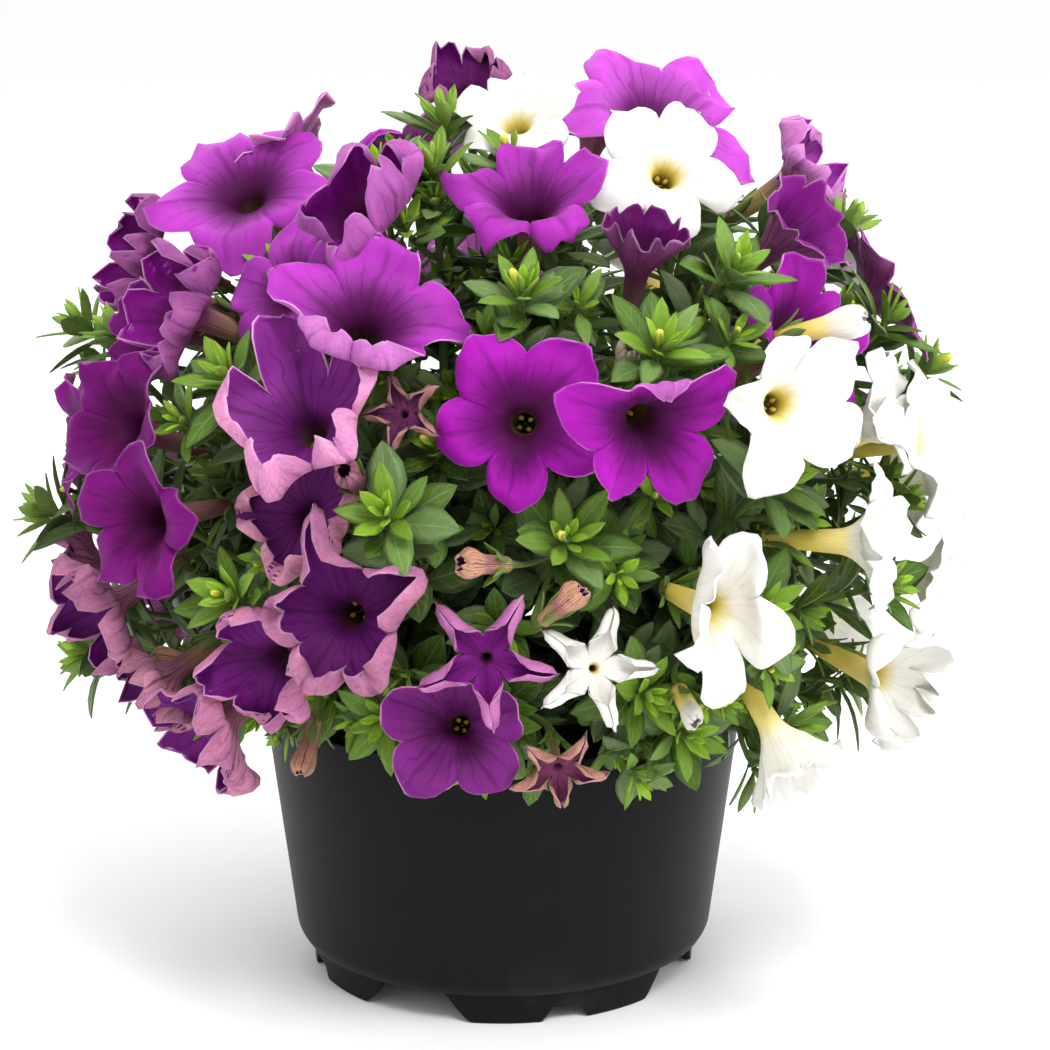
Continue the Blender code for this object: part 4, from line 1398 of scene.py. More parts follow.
def stem_curve(shoot: Shoot) -> Curve:
    """The curve of a shoot's stem, from the side of its crown to its tip in the dome.

    Args:
        shoot: The shoot.

    Returns:
        The curve's four points.
    """
    tip = DOME_CENTRE + heading(shoot.azimuth, shoot.elevation) * shoot.reach * MM
    root = Vector((*shoot.plant.value, shoot.leave * MM))
    outwards = (tip - root) * Vector((1, 1, 0))
    outwards.normalize()
    climb = math.radians(shoot.climb)
    away = crown_radius(root.z) + GAP + STEM_FOOT_RADIUS * math.sin(climb)
    start = root + outwards * away
    setting_out = outwards * math.cos(climb) + Vector((0, 0, math.sin(climb)))
    at_tip = (heading(shoot.azimuth, shoot.elevation) + Vector((0, 0, 0.35))).normalized()
    return start, start + setting_out * STEM_SPREAD, tip - at_tip * STEM_SPREAD, tip


def stem_radius(share: float) -> float:
    """A stem's radius at a share of its run."""
    return STEM_FOOT_RADIUS + (STEM_TIP_RADIUS - STEM_FOOT_RADIUS) * share


def flower_frame(flower: Flower) -> tuple[Vector, Vector, Vector]:
    """Where a flower lies.

    Args:
        flower: The flower.

    Returns:
        The mouth's centre, the direction that the flower faces and the foot of its calyx.
    """
    mouth = DOME_CENTRE + heading(flower.azimuth, flower.elevation) * flower.reach * MM
    facing = heading(flower.face_azimuth, flower.face_elevation)
    return mouth, facing, mouth - facing * flower.width * MM * TUBE_DEPTH


def stalk_curve(flower: Flower, shoots: tuple[Shoot, ...], taken: list[Vector]) -> Curve:
    """The curve of a flower's stalk, from the stem of its own plant that suits it best.

    Args:
        flower: The flower.
        shoots: The shoots that may bear it.
        taken: The places of the stalks before it, to which its own is added.

    Returns:
        The stalk's curve, from the stem to the calyx.
    """
    _, facing, calyx = flower_frame(flower)
    best = None
    for shoot in shoots:
        if shoot.plant is not flower.plant:
            continue
        curve = stem_curve(shoot)
        for step in range(6, 20):
            place, tangent = bezier(curve, step / 20)
            if any((place - other).length < STALK_SPACING for other in taken):
                continue
            reach = calyx - place
            off_length = abs(reach.length - STALK_LENGTH)
            off_course = 1 - reach.normalized().dot(facing)
            cost = off_length + STALK_STRAIGHTNESS * off_course
            if best is None or cost < best[0]:
                best = (cost, place, tangent, stem_radius(step / 20))
    _, place, tangent, radius = best
    taken.append(place)
    spoke = calyx - place
    spoke = (spoke - tangent * spoke.dot(tangent)).normalized()
    start = place + spoke * (radius + GAP)
    bend = (calyx - start).length * 0.4
    return start, start + spoke * bend, calyx - facing * bend, calyx


def add_bud(skin: Skin, foot: Vector, along: Vector, length: float, radius: float) -> None:
    """Adds a closed bud: a pleated spindle with a blunt point.

    Args:
        skin: The mesh to add to.
        foot: Where it starts.
        along: The way it points.
        length: Its length.
        radius: Its greatest radius.
    """
    shares = (0.0, 0.12, 0.3, 0.5, 0.7, 0.86, 0.96, 1.0)
    swells = (0.35, 0.62, 0.80, 0.86, 1.0, 0.86, 0.5, 0.12)
    line = [foot + along * length * share for share in shares]
    add_tube(skin, line, [radius * swell for swell in swells], 10, Finish.BUD, BUD_TINT, ridges=0.16)


@dataclass
class FlowerPiece:
    """One flower with its stalk, calyx, corolla and stamens, at the end of its stalk's curve. The seed
    sets its chance values."""

    flower: Flower
    curve: Curve
    seed: int
    skin: Skin = field(default_factory=Skin)

    def __post_init__(self) -> None:
        """Starts the chance values and works out where the flower's parts lie."""
        self.chance = np.random.default_rng(self.seed)
        self.width = self.flower.width * MM
        self.mouth, self.facing, self.calyx = flower_frame(self.flower)
        self.side = any_side(self.facing)
        self.other = self.facing.cross(self.side)

    def outwards(self, angle: float) -> Vector:
        """The direction away from the flower's axis at an angle round it."""
        return self.side * math.cos(angle) + self.other * math.sin(angle)

    def add_stalk(self) -> None:
        """Adds the stalk, which widens into the cup that holds the sepals."""
        line = [bezier(self.curve, step / 7)[0] for step in range(8)]
        radii = [STALK_RADIUS * 0.95] * 6 + [STALK_RADIUS * 1.15, STALK_RADIUS * 1.9]
        line += [self.calyx + self.facing * 1.2 * MM, self.calyx + self.facing * 3.0 * MM]
        radii += [2.0 * MM, 1.7 * MM]
        tint = (0.6, self.chance.uniform(0.4, 0.7), self.chance.uniform(0, 1))
        add_tube(self.skin, line, radii, 8, Finish.STEM, tint)

    def add_sepals(self) -> None:
        """Adds the five narrow sepals round the foot of the tube."""
        start = self.chance.uniform(0, TURN)
        for index in range(LOBES):
            outwards = self.outwards(start + TURN * index / LOBES + self.chance.uniform(-0.12, 0.12))
            spread = math.radians(self.chance.uniform(14, 34))
            along = self.facing * math.cos(spread) + outwards * math.sin(spread)
            face = self.facing * math.sin(spread) - outwards * math.cos(spread)
            foot = self.calyx + self.facing * 0.6 * MM + outwards * 1.7 * MM
            length = (SEPAL_LENGTH + 0.13 * self.width) * self.chance.uniform(0.9, 1.15)
            leaf = Leaf(foot, along, face, length, SEPAL_WIDTH, fold=12, bend=30, thickness=0.4 * MM,
                        slender=1.0)
            leaf.add_to(self.skin, (0.5, self.chance.uniform(0.35, 0.7), 0.5), slim=True)

    def add_corolla(self) -> None:
        """Adds the tube and petals."""
        violet = self.flower.plant is Plant.VIOLET
        face = Finish.VIOLET_FACE if violet else Finish.WHITE_FACE
        back = Finish.VIOLET_BACK if violet else Finish.WHITE_BACK
        corolla = Corolla(self.width, self.flower.form, self.flower.look, self.chance)
        corolla.add_to(self.skin, self.mouth, self.facing, face, back)

    def add_stamens(self) -> None:
        """Adds four anthers on their filaments, and the pistil between them."""
        depth = VIOLET_ANTHER_DEPTH if self.flower.plant is Plant.VIOLET else WHITE_ANTHER_DEPTH
        for index in range(ANTHERS + 1):
            is_pistil = index == ANTHERS
            spread = 0.0 if is_pistil else ANTHER_SPREAD * self.width
            offset = self.outwards(TURN * index / ANTHERS + 0.6) * spread
            top = self.mouth - self.facing * self.width * (depth - self.chance.uniform(-0.02, 0.02)) + offset
            foot = self.mouth - self.facing * self.width * FILAMENT_DEPTH + offset * 0.3
            middle = (top + foot) / 2 + offset * 0.2
            add_tube(self.skin, [foot, middle, top], [FILAMENT_RADIUS] * 3, 5, Finish.STEM, (0.9, 0.9, 0.5))
            if not is_pistil:
                rise = (self.facing + offset.normalized() * 0.4).normalized()
                line = [top + rise * (share - 0.3) * ANTHER_LENGTH for share in (0.0, 0.25, 0.6, 1.0)]
                add_tube(self.skin, line, ANTHER_RADII, 7, Finish.POLLEN, (1, 1, 1), ridges=0.1)

    def build(self) -> None:
        """Builds the flower's mesh. Stars and withered flowers hide their stamens."""
        self.add_stalk()
        self.add_sepals()
        self.add_corolla()
        if self.flower.form not in (WITHERED, STAR):
            self.add_stamens()


@dataclass
class ShootPiece:
    """One shoot: its stem, its leaves, its side branches and the rosettes at their ends. Its leaves keep
    clear of the obstacles, an inner shoot's have fewer faces, and the seed sets its chance values."""

    shoot: Shoot
    seed: int
    obstacles: list[BVHTree]
    skin: Skin = field(default_factory=Skin)
    inner: bool = False

    def __post_init__(self) -> None:
        """Starts the chance values."""
        self.chance = np.random.default_rng(self.seed)

    def is_clear(self, start: Vector, end: Vector) -> bool:
        """Whether nothing stands between two places."""
        way = end - start
        return all(tree.ray_cast(start, way.normalized(), way.length)[0] is None for tree in self.obstacles)

    def is_free(self, leaf: Leaf) -> bool:
        """Whether a leaf's midrib and outline miss the flowers, the pot and the soil."""
        return all(self.is_clear(leaf.foot + leaf.along * 1.0 * MM, end) for end in leaf.outline())

    def add_leaf(self, foot: Vector, axis: Vector, turn: float, lean: float, length: float, youth: float,
                 slim: bool = False) -> None:
        """Adds a leaf at a place on a stem, turned a little aside or left off where something is in its way.

        Args:
            foot: The place on the stem's middle.
            axis: The stem's direction.
            turn: The angle round the stem.
            lean: The angle in degrees between the leaf and the stem's direction.
            length: Its length.
            youth: Its youth, from 0 to 1.
            slim: Whether it takes fewer faces.
        """
        side = any_side(axis)
        other = axis.cross(side)
        tilt = math.radians(lean)
        ratio = self.chance.uniform(0.42, 0.54) if youth < 0.5 else self.chance.uniform(0.32, 0.42)
        fold = self.chance.uniform(8, 24)
        bend = self.chance.uniform(5, 45) if youth < 0.7 else self.chance.uniform(-10, 15)
        light = self.chance.uniform(0.35, 0.75)
        chance = self.chance.uniform(0, 1)
        for aside, share in LEAF_TRIES:
            outwards = side * math.cos(turn + aside) + other * math.sin(turn + aside)
            along = axis * math.cos(tilt) + outwards * math.sin(tilt)
            face = axis * math.sin(tilt) - outwards * math.cos(tilt)
            leaf = Leaf(foot + outwards * 0.5 * MM, along, face, length * share, length * share * ratio,
                        fold=fold, bend=bend)
            if self.is_free(leaf):
                leaf.add_to(self.skin, (youth, light, chance), slim or self.inner)
                return

    def add_rosette(self, tip: Vector, axis: Vector, size: float, count: int, youth: float) -> None:
        """Adds the tight rosette at a tip, from its wide outer leaves to the small upright inner ones.

        Args:
            tip: The stem's end.
            axis: The stem's direction.
            size: The size of its leaves, 1 for full grown.
            count: The number of leaves.
            youth: How bright its outer leaves are.
        """
        start = self.chance.uniform(0, TURN)
        for index in range(count):
            share = index / (count - 1)
            turn = start + index * GOLDEN_TURN
            foot = tip - axis * (1 - share) * ROSETTE_DEPTH * size
            lean = 72 - 58 * share**0.9 + self.chance.uniform(-7, 7)
            length = (17 - 11.5 * share) * MM * size * self.chance.uniform(0.88, 1.12)
            self.add_leaf(foot, axis, turn, lean, length, min(1.0, youth + 0.75 * share), slim=share > 0.45)
        if self.chance.uniform(0, 1) < BUD_SHARE:
            outwards = any_side(axis)
            along = (axis + outwards * 0.3).normalized()
            length = self.chance.uniform(3.5, 7.5) * MM * size
            add_bud(self.skin, tip - axis * 1 * MM + outwards * 0.8 * MM, along, length, BUD_RADIUS * size)

    def add_branch(self, start: Vector, axis: Vector, outwards: Vector, length: float, size: float) -> None:
        """Adds a side branch with a few leaves and a rosette, unless something is in its way.

        Args:
            start: Where it leaves the stem.
            axis: The stem's direction there.
            outwards: The side on which it leaves.
            length: Its length.
            size: The size of its leaves.
        """
        setting_out = (axis * 0.5 + outwards).normalized()
        away = (start - DOME_CENTRE).normalized()
        end = start + (setting_out + away * 0.7).normalized() * length
        curve = (start, start + setting_out * length * 0.35, end - away * length * 0.3, end)
        if not self.is_clear(start, end):
            return
        line = [bezier(curve, step / 5)[0] for step in range(6)]
        radii = [STEM_TIP_RADIUS - 0.25 * MM * step / 5 for step in range(6)]
        add_tube(self.skin, line, radii, 6, Finish.STEM, (0.7, 0.5, 0.5))
        turn = self.chance.uniform(0, TURN)
        for index in range(4):
            place, tangent = bezier(curve, 0.35 + 0.15 * index)
            self.add_leaf(place, tangent, turn + index * GOLDEN_TURN, 60, BRANCH_LEAF_LENGTH * size,
                          self.shoot.youth * 0.7, slim=index < 2)
        self.add_rosette(end, bezier(curve, 1)[1], size * 0.8, 9, self.shoot.youth)

    def build(self) -> None:
        """Builds the shoot's mesh."""
        curve = stem_curve(self.shoot)
        line = [bezier(curve, step / 15)[0] for step in range(16)]
        radii = [stem_radius(step / 15) for step in range(16)]
        add_tube(self.skin, line, radii, 8, Finish.STEM, (0.4, 0.5, 0.5))
        turn = self.chance.uniform(0, TURN)
        for index in range(STEM_LEAVES):
            share = 0.28 + 0.68 * index / STEM_LEAVES
            place, tangent = bezier(curve, share)
            lean = 70 - 20 * share + self.chance.uniform(-12, 12)
            length = self.chance.uniform(15, 21) * MM * (1.1 - 0.25 * share)
            # Leaves low on the stem, deep in the plant, get the dark old green, partly painted shade.
            youth = self.shoot.youth * (share - 0.35)
            self.add_leaf(place, tangent, turn + index * GOLDEN_TURN, lean, length, max(youth, 0.0))
        for share in BRANCH_PLACES:
            place, tangent = bezier(curve, share)
            side = any_side(tangent)
            angle = self.chance.uniform(0, TURN)
            outwards = side * math.cos(angle) + tangent.cross(side) * math.sin(angle)
            self.add_branch(place, tangent, outwards, self.chance.uniform(16, 24) * MM, 0.85)
        self.add_rosette(curve[3], bezier(curve, 1)[1], 1.0, 15, self.shoot.youth * 0.7)


@dataclass
class Pot:
    """The pot: a tapered wall with a rounded lower edge, a raised floor and a skirt cut into four feet."""

    height: float = 70 * MM
    rim_radius: float = 60 * MM
    seam_radius: float = 52.2 * MM
    seam_height: float = 8.4 * MM
    skirt_radius: float = 48.2 * MM
    skirt_wall: float = 1.8 * MM
    skirt_lean: float = 0.5 * MM
    wall: float = 1.3 * MM
    floor_thickness: float = 1.5 * MM
    edge_round: float = 3.5 * MM
    edge_inset: float = 1.1 * MM
    rim_round: float = 0.5 * MM
    inner_floor_radius: float = 49 * MM
    sides: int = 192
    feet: int = 4
    foot_azimuth: float = 18.5
    notch_half_widths: tuple[float, float] = (15.4 * MM, 6.4 * MM)
    foot_notch_half_widths: tuple[float, float] = (6.6 * MM, 2.8 * MM)
    foot_notch_height: float = 3.8 * MM
    drains: int = 6
    drain_circle: float = 30 * MM
    drain_radius: float = 3.5 * MM

    def wall_radius(self, height: float) -> float:
        """The outer radius of the wall at a height."""
        share = (height - self.seam_height) / (self.height - self.seam_height)
        return self.seam_radius + (self.rim_radius - self.seam_radius) * share

    def profile(self) -> Outline:
        """The turned outline, from the middle of the underside over the rim to the middle of the floor.

        Returns:
            Its points, as radii and heights.
        """
        inner = self.skirt_radius - self.skirt_wall
        edge_top = self.seam_height + self.edge_round
        points = [(0, self.seam_height), (inner, self.seam_height), (inner, 0.3 * MM), (inner + 0.3 * MM, 0),
                  (self.skirt_radius - 0.4 * MM, 0), (self.skirt_radius, 0.4 * MM)]
        points.append((self.skirt_radius + self.skirt_lean, self.seam_height))
        for step in range(7):
            share = 1 - step / 6
            height = edge_top - self.edge_round * share
            points.append((self.wall_radius(height) - self.edge_inset * share**2, height))
        for step in range(5):
            angle = math.pi / 2 * step / 4
            across = self.rim_radius - self.rim_round * (1 - math.cos(angle))
            points.append((across, self.height - self.rim_round * (1 - math.sin(angle))))
        inside = self.rim_radius - self.wall
        points += [(inside + 0.3 * MM, self.height), (inside, self.height - 0.3 * MM)]
        points.append((self.wall_radius(edge_top) - self.wall, edge_top))
        points += [(self.inner_floor_radius, self.seam_height + self.floor_thickness)]
        points.append((0, self.seam_height + self.floor_thickness))
        return points

    @staticmethod
    def notch_outline(half_widths: tuple[float, float], height: float) -> Outline:
        """The outline of a notch in the skirt: wide at the table, narrow above, with flowing corners.

        Args:
            half_widths: Half its width at the table and above.
            height: Its height.

        Returns:
            Its points, as places across and heights.
        """
        half_foot, half_top = half_widths
        flank = []
        for step in range(15):
            share = step / 14
            flank.append((half_foot + (half_top - half_foot) * share, height * float(eased(0, 1, share))))
        left = [(-x, z) for x, z in reversed(flank)]
        return [(half_foot, -2 * MM), *flank, *left, (-half_foot, -2 * MM)]

    def add_prism(self, mesh_data: bmesh.types.BMesh, outline: Outline, azimuth: float) -> None:
        """Adds an outline extruded outwards through the skirt.

        Args:
            mesh_data: The mesh to add to.
            outline: The outline, as places across and heights.
            azimuth: Where it goes through the skirt.
        """
        outwards = heading(azimuth, 0)
        sideways = UP.cross(outwards)
        loops = []
        for distance in (self.skirt_radius - 8 * MM, self.skirt_radius + 6 * MM):
            middle = outwards * distance
            loops.append([mesh_data.verts.new(middle + sideways * x + UP * z) for x, z in outline])
        count = len(outline)
        for index in range(count):
            after = (index + 1) % count
            mesh_data.faces.new((loops[0][index], loops[0][after], loops[1][after], loops[1][index]))
        mesh_data.faces.new(loops[0])
        mesh_data.faces.new(list(reversed(loops[1])))

    def cutter(self) -> bpy.types.Object:
        """The notches between the feet, the small notch in each foot and the drains, as one mesh.

        Returns:
            The object that is cut away from the pot.
        """
        mesh_data = bmesh.new()
        turn = 360 / self.feet
        for index in range(self.feet):
            between = self.notch_outline(self.notch_half_widths, self.seam_height - GAP)
            self.add_prism(mesh_data, between, self.foot_azimuth + turn * (index + 0.5))
            small = self.notch_outline(self.foot_notch_half_widths, self.foot_notch_height)
            self.add_prism(mesh_data, small, self.foot_azimuth + turn * index)
        for index in range(self.drains):
            spot = heading(360 * index / self.drains, 0) * self.drain_circle + UP * self.seam_height
            bmesh.ops.create_cone(mesh_data, cap_ends=True, segments=32, radius1=self.drain_radius,
                                  radius2=self.drain_radius, depth=4 * self.floor_thickness,
                                  matrix=Matrix.Translation(spot))
        bmesh.ops.recalc_face_normals(mesh_data, faces=mesh_data.faces)
        return object_of("pot_cutter", mesh_data)

    def build(self, palette: Palette) -> bpy.types.Object:
        """Builds the pot.

        Args:
            palette: The finished materials.

        Returns:
            The pot's object.
        """
        pot = object_of("nursery_pot", turned(self.profile(), self.sides), palette[Finish.PLASTIC])
        cutter = self.cutter()
        cut = pot.modifiers.new("feet_and_drains", "BOOLEAN")
        cut.operation = "DIFFERENCE"
        cut.solver = "EXACT"
        cut.object = cutter
        bpy.context.view_layer.update()
        evaluated = pot.evaluated_get(bpy.context.evaluated_depsgraph_get())
        mesh = bpy.data.meshes.new_from_object(evaluated)
        pot.modifiers.clear()
        pot.data = mesh
        bpy.data.objects.remove(cutter)
        mesh.shade_smooth()
        mesh.set_sharp_from_angle(angle=math.radians(35))
        return pot


def turned(profile: Outline, sides: int) -> bmesh.types.BMesh:
    """A closed solid of revolution about Z.

    Args:
        profile: Its outline, as radii and heights, which starts and ends on the axis.
        sides: The number of steps round it.

    Returns:
        The solid's mesh.
    """
    mesh_data = bmesh.new()
    verts = [mesh_data.verts.new((radius, 0, height)) for radius, height in profile]
    edges = [mesh_data.edges.new(pair) for pair in zip(verts, verts[1:])]
    bmesh.ops.spin(mesh_data, geom=verts + edges, cent=(0, 0, 0), axis=(0, 0, 1), angle=TURN, steps=sides,
                   use_merge=True)
    bmesh.ops.remove_doubles(mesh_data, verts=mesh_data.verts, dist=0.005 * MM)
    bmesh.ops.recalc_face_normals(mesh_data, faces=mesh_data.faces)
    return mesh_data


def object_of(name: str, mesh_data: bmesh.types.BMesh, *materials: bpy.types.Material) -> bpy.types.Object:
    """Puts a finished mesh in the scene as an object.

    Args:
        name: The object's name.
        mesh_data: The mesh, which is used up.
        materials: Its materials.

    Returns:
        The object.
    """
    mesh = bpy.data.meshes.new(name)
    mesh_data.to_mesh(mesh)
    mesh_data.free()
    for material in materials:
        mesh.materials.append(material)
    return placed(name, mesh)


@dataclass
class Soil:
    """The root ball, with a rough peaty top, loose crumbs and root fibres."""

    pot: Pot
    top: float = SOIL_TOP
    edge_drop: float = 2.5 * MM
    flat_radius: float = 34 * MM
    rings: int = 46
    sides: int = 150
    crumbs: int = 620
    fibres: int = 90
    seed: int = 11
    wave_count: int = 40
    longest_wave: float = 18 * MM
    shortest_wave: float = 1.6 * MM

    def __post_init__(self) -> None:
        """Starts the chance values and draws the waves of the rough top."""
        self.chance = np.random.default_rng(self.seed)
        self.edge = self.pot.wall_radius(self.top - self.edge_drop) - self.pot.wall - GAP
        self.waves = [self.wave(index) for index in range(self.wave_count)]

    def wave(self, index: int) -> tuple[float, float, float, float]:
        """One of the waves that make up the roughness, from broad to fine.

        Args:
            index: Its number.

        Returns:
            Its two wave numbers, its phase and its height.
        """
        length = self.longest_wave * 0.92**index + self.shortest_wave
        angle = self.chance.uniform(0, TURN)
        height = 0.045 * length * self.chance.uniform(0.4, 1.0)
        number = TURN / length
        return number * math.cos(angle), number * math.sin(angle), self.chance.uniform(0, TURN), height * 0.5

    def surface(self, x: Number, y: Number) -> Number:
        """The height of the rough top at places.

        Args:
            x: The places' first coordinates.
            y: Their second coordinates.

        Returns:
            The heights.
        """
        share = (np.hypot(x, y) - self.flat_radius) / (self.edge - self.flat_radius)
        drop = self.edge_drop * np.clip(share, 0, 1)
        rough = sum(height * np.sin(kx * x + ky * y + phase) for kx, ky, phase, height in self.waves)
        return self.top - drop + rough

    def spot(self, margin: float) -> Vector:
        """A place on the rough top, spread evenly over it.

        Args:
            margin: How far it keeps from the edge.

        Returns:
            The place.
        """
        radius = (self.edge - margin) * math.sqrt(self.chance.uniform(0, 0.98))
        angle = self.chance.uniform(0, TURN)
        x = radius * math.cos(angle)
        y = radius * math.sin(angle)
        return Vector((x, y, self.surface(x, y)))

    def ball(self) -> Skin:
        """The root ball, from the middle of its underside over its edge to the middle of its top.

        Returns:
            Its mesh.
        """
        pot = self.pot
        angles = np.arange(self.sides) * TURN / self.sides
        floor = pot.seam_height + pot.floor_thickness + GAP
        low = pot.seam_height + pot.edge_round
        below = ((pot.inner_floor_radius * 0.5, floor), (pot.inner_floor_radius - 2 * GAP, floor),
                 (pot.wall_radius(low) - pot.wall - 2 * GAP, low + GAP))
        rows = [np.stack([radius * np.cos(angles), radius * np.sin(angles), np.full(self.sides, height)], 1)
                for radius, height in below]
        for ring in range(self.rings):
            radius = self.edge * (1 - (ring / self.rings) ** 1.15) + 0.2 * MM
            x = radius * np.cos(angles)
            y = radius * np.sin(angles)
            rows.append(np.stack([x, y, self.surface(x, y)], 1))
        skin = Skin()
        skin.add_turned(np.array(rows), Finish.PEAT)
        return skin

    def loose_crumbs(self) -> Skin:
        """The loose crumbs of peat.

        Returns:
            Their mesh.
        """
        skin = Skin()
        for _ in range(self.crumbs):
            spot = self.spot(1.5 * MM)
            size = self.chance.uniform(0.5, 1.0) ** 2 * 2.0 * MM
            way = heading(self.chance.uniform(0, 360), self.chance.uniform(-30, 40))
            line = [spot + way * size * share for share in (-0.8, -0.4, 0.2, 0.8)]
            radii = [size * share * self.chance.uniform(0.7, 1.2) for share in (0.25, 0.62, 0.6, 0.2)]
            add_tube(skin, line, radii, 6, Finish.PEAT)
        return skin

    def root_fibres(self) -> Skin:
        """The fine root fibres that lie on the peat.

        Returns:
            Their mesh.
        """
        skin = Skin()
        limit = self.edge - 1 * MM
        for _ in range(self.fibres):
            place = self.spot(6 * MM)
            angle = self.chance.uniform(0, 360)
            length = self.chance.uniform(3, 9) * MM
            bend = self.chance.uniform(-50, 50)
            line = []
            for step in range(6):
                line.append(Vector((place.x, place.y, self.surface(place.x, place.y) + 0.3 * MM)))
                place += heading(angle + bend * step / 5, 0) * length / 5
                place.z = 0
                if place.length > limit:
                    place = place.normalized() * limit
            add_tube(skin, line, [self.chance.uniform(0.12, 0.3) * MM] * 6, 5, Finish.FIBRE)
        return skin

    def build(self, palette: Palette) -> list[bpy.types.Object]:
        """Builds the soil and what lies loose on it.

        Args:
            palette: The finished materials.

        Returns:
            The root ball, the crumbs and the fibres.
        """
        return [
            self.ball().make("root_ball", palette),
            self.loose_crumbs().make("peat_crumbs", palette),
            self.root_fibres().make("root_fibres", palette),
        ]


@dataclass
class CrownPiece:
    """The short woody crown of a plant, knobbly where shoots have sprung. Its foot is sunk in the soil."""

    plant: Plant
    seed: int
    sides: int = 28
    rows: int = 22
    sunk: float = 1.5 * MM

    def build(self, palette: Palette) -> bpy.types.Object:
        """Builds the crown.

        Args:
            palette: The finished materials.

        Returns:
            The crown's object.
        """
        angles = np.arange(self.sides) * TURN / self.sides
        bumps = np.random.default_rng(self.seed).uniform(0, TURN, 6)
        x, y = self.plant.value
        rings = np.empty((self.rows, self.sides, 3))
        for row in range(self.rows):
            share = row / (self.rows - 1)
            height = SOIL_TOP - self.sunk + (CROWN_HEIGHT + 2 * self.sunk) * share
            closing = 1 if share < 0.9 else 1 - 7 * (share - 0.9)
            radius = crown_radius(min(height, SOIL_TOP + CROWN_HEIGHT)) * closing
            wave = 1 + 0.07 * np.sin(3 * angles + bumps[0] + 3 * share)
            wave += 0.05 * np.sin(7 * angles + bumps[1]) + 0.04 * np.sin(5 * angles + 14 * share + bumps[2])
            wave += 0.05 * math.sin(22 * share + bumps[3])
            rings[row, :, 0] = x + radius * wave * np.cos(angles) * 0.94
            rings[row, :, 1] = y + radius * wave * np.sin(angles) * 0.94
            rings[row, :, 2] = height
        skin = Skin()
        skin.add_turned(rings, Finish.BARK)
        return skin.make(f"{self.plant.name.lower()}_crown_wood", palette)


@dataclass
class Studio:
    """The pale floor, the soft light and the camera."""

    floor_size: float = 60.0
    camera_place: tuple[float, float, float] = (5.5 * MM, -692 * MM, 276.2 * MM)
    pitch: float = 13.33
    focal_pixels: float = 2864
    image_pixels: float = 1050
    sensor: float = 36.0

    def add_floor(self) -> None:
        """Adds the floor, which isn't part of the object."""
        half = self.floor_size / 2
        corners = [(-half, -half, 0), (half, -half, 0), (half, half, 0), (-half, half, 0)]
        mesh = bpy.data.meshes.new("floor")
        mesh.from_pydata(corners, [], [(0, 1, 2, 3)])
        g = Graph("pale_floor")
        g.set(base_color=(0.97, 0.97, 0.97), roughness=0.9, specular_ior_level=0.1)
        mesh.materials.append(g.material)
        placed("floor", mesh)

    def add_light(self, name: str, place: tuple[float, float, float], size: float, energy: float) -> None:
        """Adds a square soft light that looks at the plant.

        Args:
            name: Its name.
            place: Where it stands.
            size: The side of its square.
            energy: Its power in watts.
        """
        data = bpy.data.lights.new(name, "AREA")
        data.shape = "SQUARE"
        data.size = size
        data.energy = energy
        light = placed(name, data)
        light.location = place
        way = DOME_CENTRE - Vector(place)
        light.rotation_euler = way.to_track_quat("-Z", "Y").to_euler()

    def add_camera(self) -> None:
        """Adds the camera at the photograph's angle."""
        data = bpy.data.cameras.new("camera")
        data.sensor_width = self.sensor
        data.lens = self.sensor * self.focal_pixels / self.image_pixels
        data.clip_start = 0.01
        camera = placed("camera", data)
        camera.location = self.camera_place
        camera.rotation_euler = (math.radians(90 - self.pitch), 0, 0)
        bpy.context.scene.camera = camera

    def build(self) -> None:
        """Sets up the studio."""
        self.add_floor()
        self.add_light("key_light", (0.30, -0.95, 1.35), 0.5, 15)
        self.add_light("side_light", (1.3, -0.4, 0.7), 0.9, 5)
        self.add_light("back_light", (-0.2, 1.2, 1.1), 1.0, 8)
        self.add_camera()
        world = bpy.data.worlds.new("studio")
        world.use_nodes = True
        background = world.node_tree.nodes["Background"]
        background.inputs["Color"].default_value = (1, 1, 1, 1)
        background.inputs["Strength"].default_value = 1.0
        bpy.context.scene.world = world
        bpy.context.scene.view_settings.view_transform = "Standard"


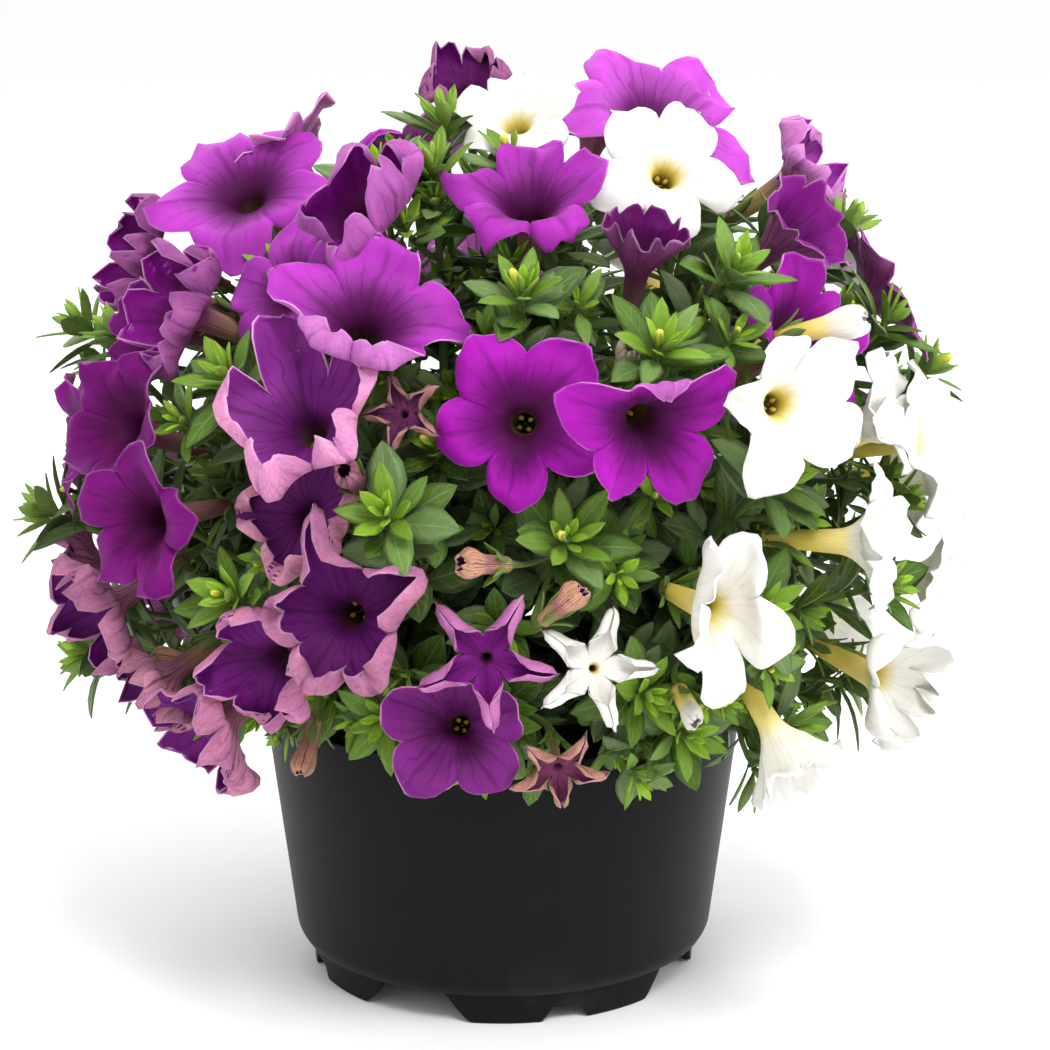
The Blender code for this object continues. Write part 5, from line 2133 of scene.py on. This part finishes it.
class Calibrachoa:
    """The whole object: pot, soil, crowns, flowers and shoots."""

    def __init__(self) -> None:
        """Makes the palette and starts the count of faces."""
        self.palette: Palette = {finish: finish.value.make() for finish in Finish}
        self.triangles = 0

    def keep(self, piece: bpy.types.Object, slot: Slot, *nodes: str) -> None:
        """Makes a piece part of the object.

        Args:
            piece: The piece.
            slot: Not used.
            nodes: The nodes that it stands for.
        """
        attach(piece, BODY)
        if nodes:
            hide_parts(*nodes)
        count = sum(len(face.vertices) - 2 for face in piece.data.polygons)
        self.triangles += count
        log.info("%s: %d triangles", piece.name, count)

    def add_pot_and_soil(self) -> list[BVHTree]:
        """Builds the pot, the soil and the crowns.

        Returns:
            What the leaves must miss of them.
        """
        pot = Pot()
        pot_piece = pot.build(self.palette)
        self.keep(pot_piece, Slot.POT, "pot")
        ball, crumbs, fibres = Soil(pot).build(self.palette)
        self.keep(ball, Slot.SOIL, "soil")
        self.keep(crumbs, Slot.SOIL)
        self.keep(fibres, Slot.SOIL)
        for seed, plant in enumerate(Plant, CROWN_SEED):
            crown = CrownPiece(plant, seed).build(self.palette)
            self.keep(crown, Slot.CROWN, f"crown_{plant.name.lower()}")
        return [tree_of(pot_piece), tree_of(ball)]

    def add_flowers(self) -> list[BVHTree]:
        """Builds every flower.

        Returns:
            Their search trees.
        """
        counts = dict.fromkeys(Plant, 0)
        taken: list[Vector] = []
        trees = []
        for index, flower in enumerate(FLOWERS + MORE_FLOWERS):
            counts[flower.plant] += 1
            name = f"{flower.plant.name.lower()}_flower_{counts[flower.plant]:02d}"
            own = index < len(FLOWERS)
            curve = stalk_curve(flower, SHOOTS if own else SHOOTS + MORE_SHOOTS, taken)
            piece = FlowerPiece(flower, curve, FLOWER_SEED + index)
            piece.build()
            made = piece.skin.make(f"{name}_bloom", self.palette)
            slot = Slot.VIOLET if flower.plant is Plant.VIOLET else Slot.WHITE
            self.keep(made, slot, *([name] if own else []))
            trees.append(tree_of(made))
        return trees

    def add_shoots(self, obstacles: list[BVHTree]) -> None:
        """Builds every shoot.

        Args:
            obstacles: What the leaves must miss.
        """
        counts = dict.fromkeys(Plant, 0)
        for plant in Plant:
            skin = Skin()
            for index, shoot in enumerate(inner_shoots()):
                if shoot.plant is plant:
                    ShootPiece(shoot, INNER_SEED + index, obstacles, skin, inner=True).build()
            self.keep(skin.make(f"{plant.name.lower()}_inner_leaves", self.palette), Slot.LEAF)
        for index, shoot in enumerate(SHOOTS + MORE_SHOOTS):
            counts[shoot.plant] += 1
            name = f"{shoot.plant.name.lower()}_shoot_{counts[shoot.plant]:02d}"
            piece = ShootPiece(shoot, SHOOT_SEED + index, obstacles)
            piece.build()
            made = piece.skin.make(f"{name}_leafy", self.palette)
            self.keep(made, Slot.LEAF, *([name] if index < len(SHOOTS) else []))

    def build(self) -> None:
        """Builds everything in order, from the pot to the leaves."""
        obstacles = self.add_pot_and_soil()
        obstacles += self.add_flowers()
        self.add_shoots(obstacles)
        log.info("in all: %d triangles", self.triangles)


def tree_of(piece: bpy.types.Object) -> BVHTree:
    """A search tree of a piece's faces."""
    mesh = piece.data
    return BVHTree.FromPolygons([v.co for v in mesh.vertices], [tuple(p.vertices) for p in mesh.polygons])


def write_sizes() -> None:
    """Updates the view layer."""
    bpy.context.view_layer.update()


def main() -> None:
    """Builds the studio and the plant."""
    logging.basicConfig(level=logging.INFO, format="%(message)s")
    log.info("the part has %d nodes", len(frame["nodes"]))
    Studio().build()
    Calibrachoa().build()
    write_sizes()


if __name__ == "__main__":
    main()
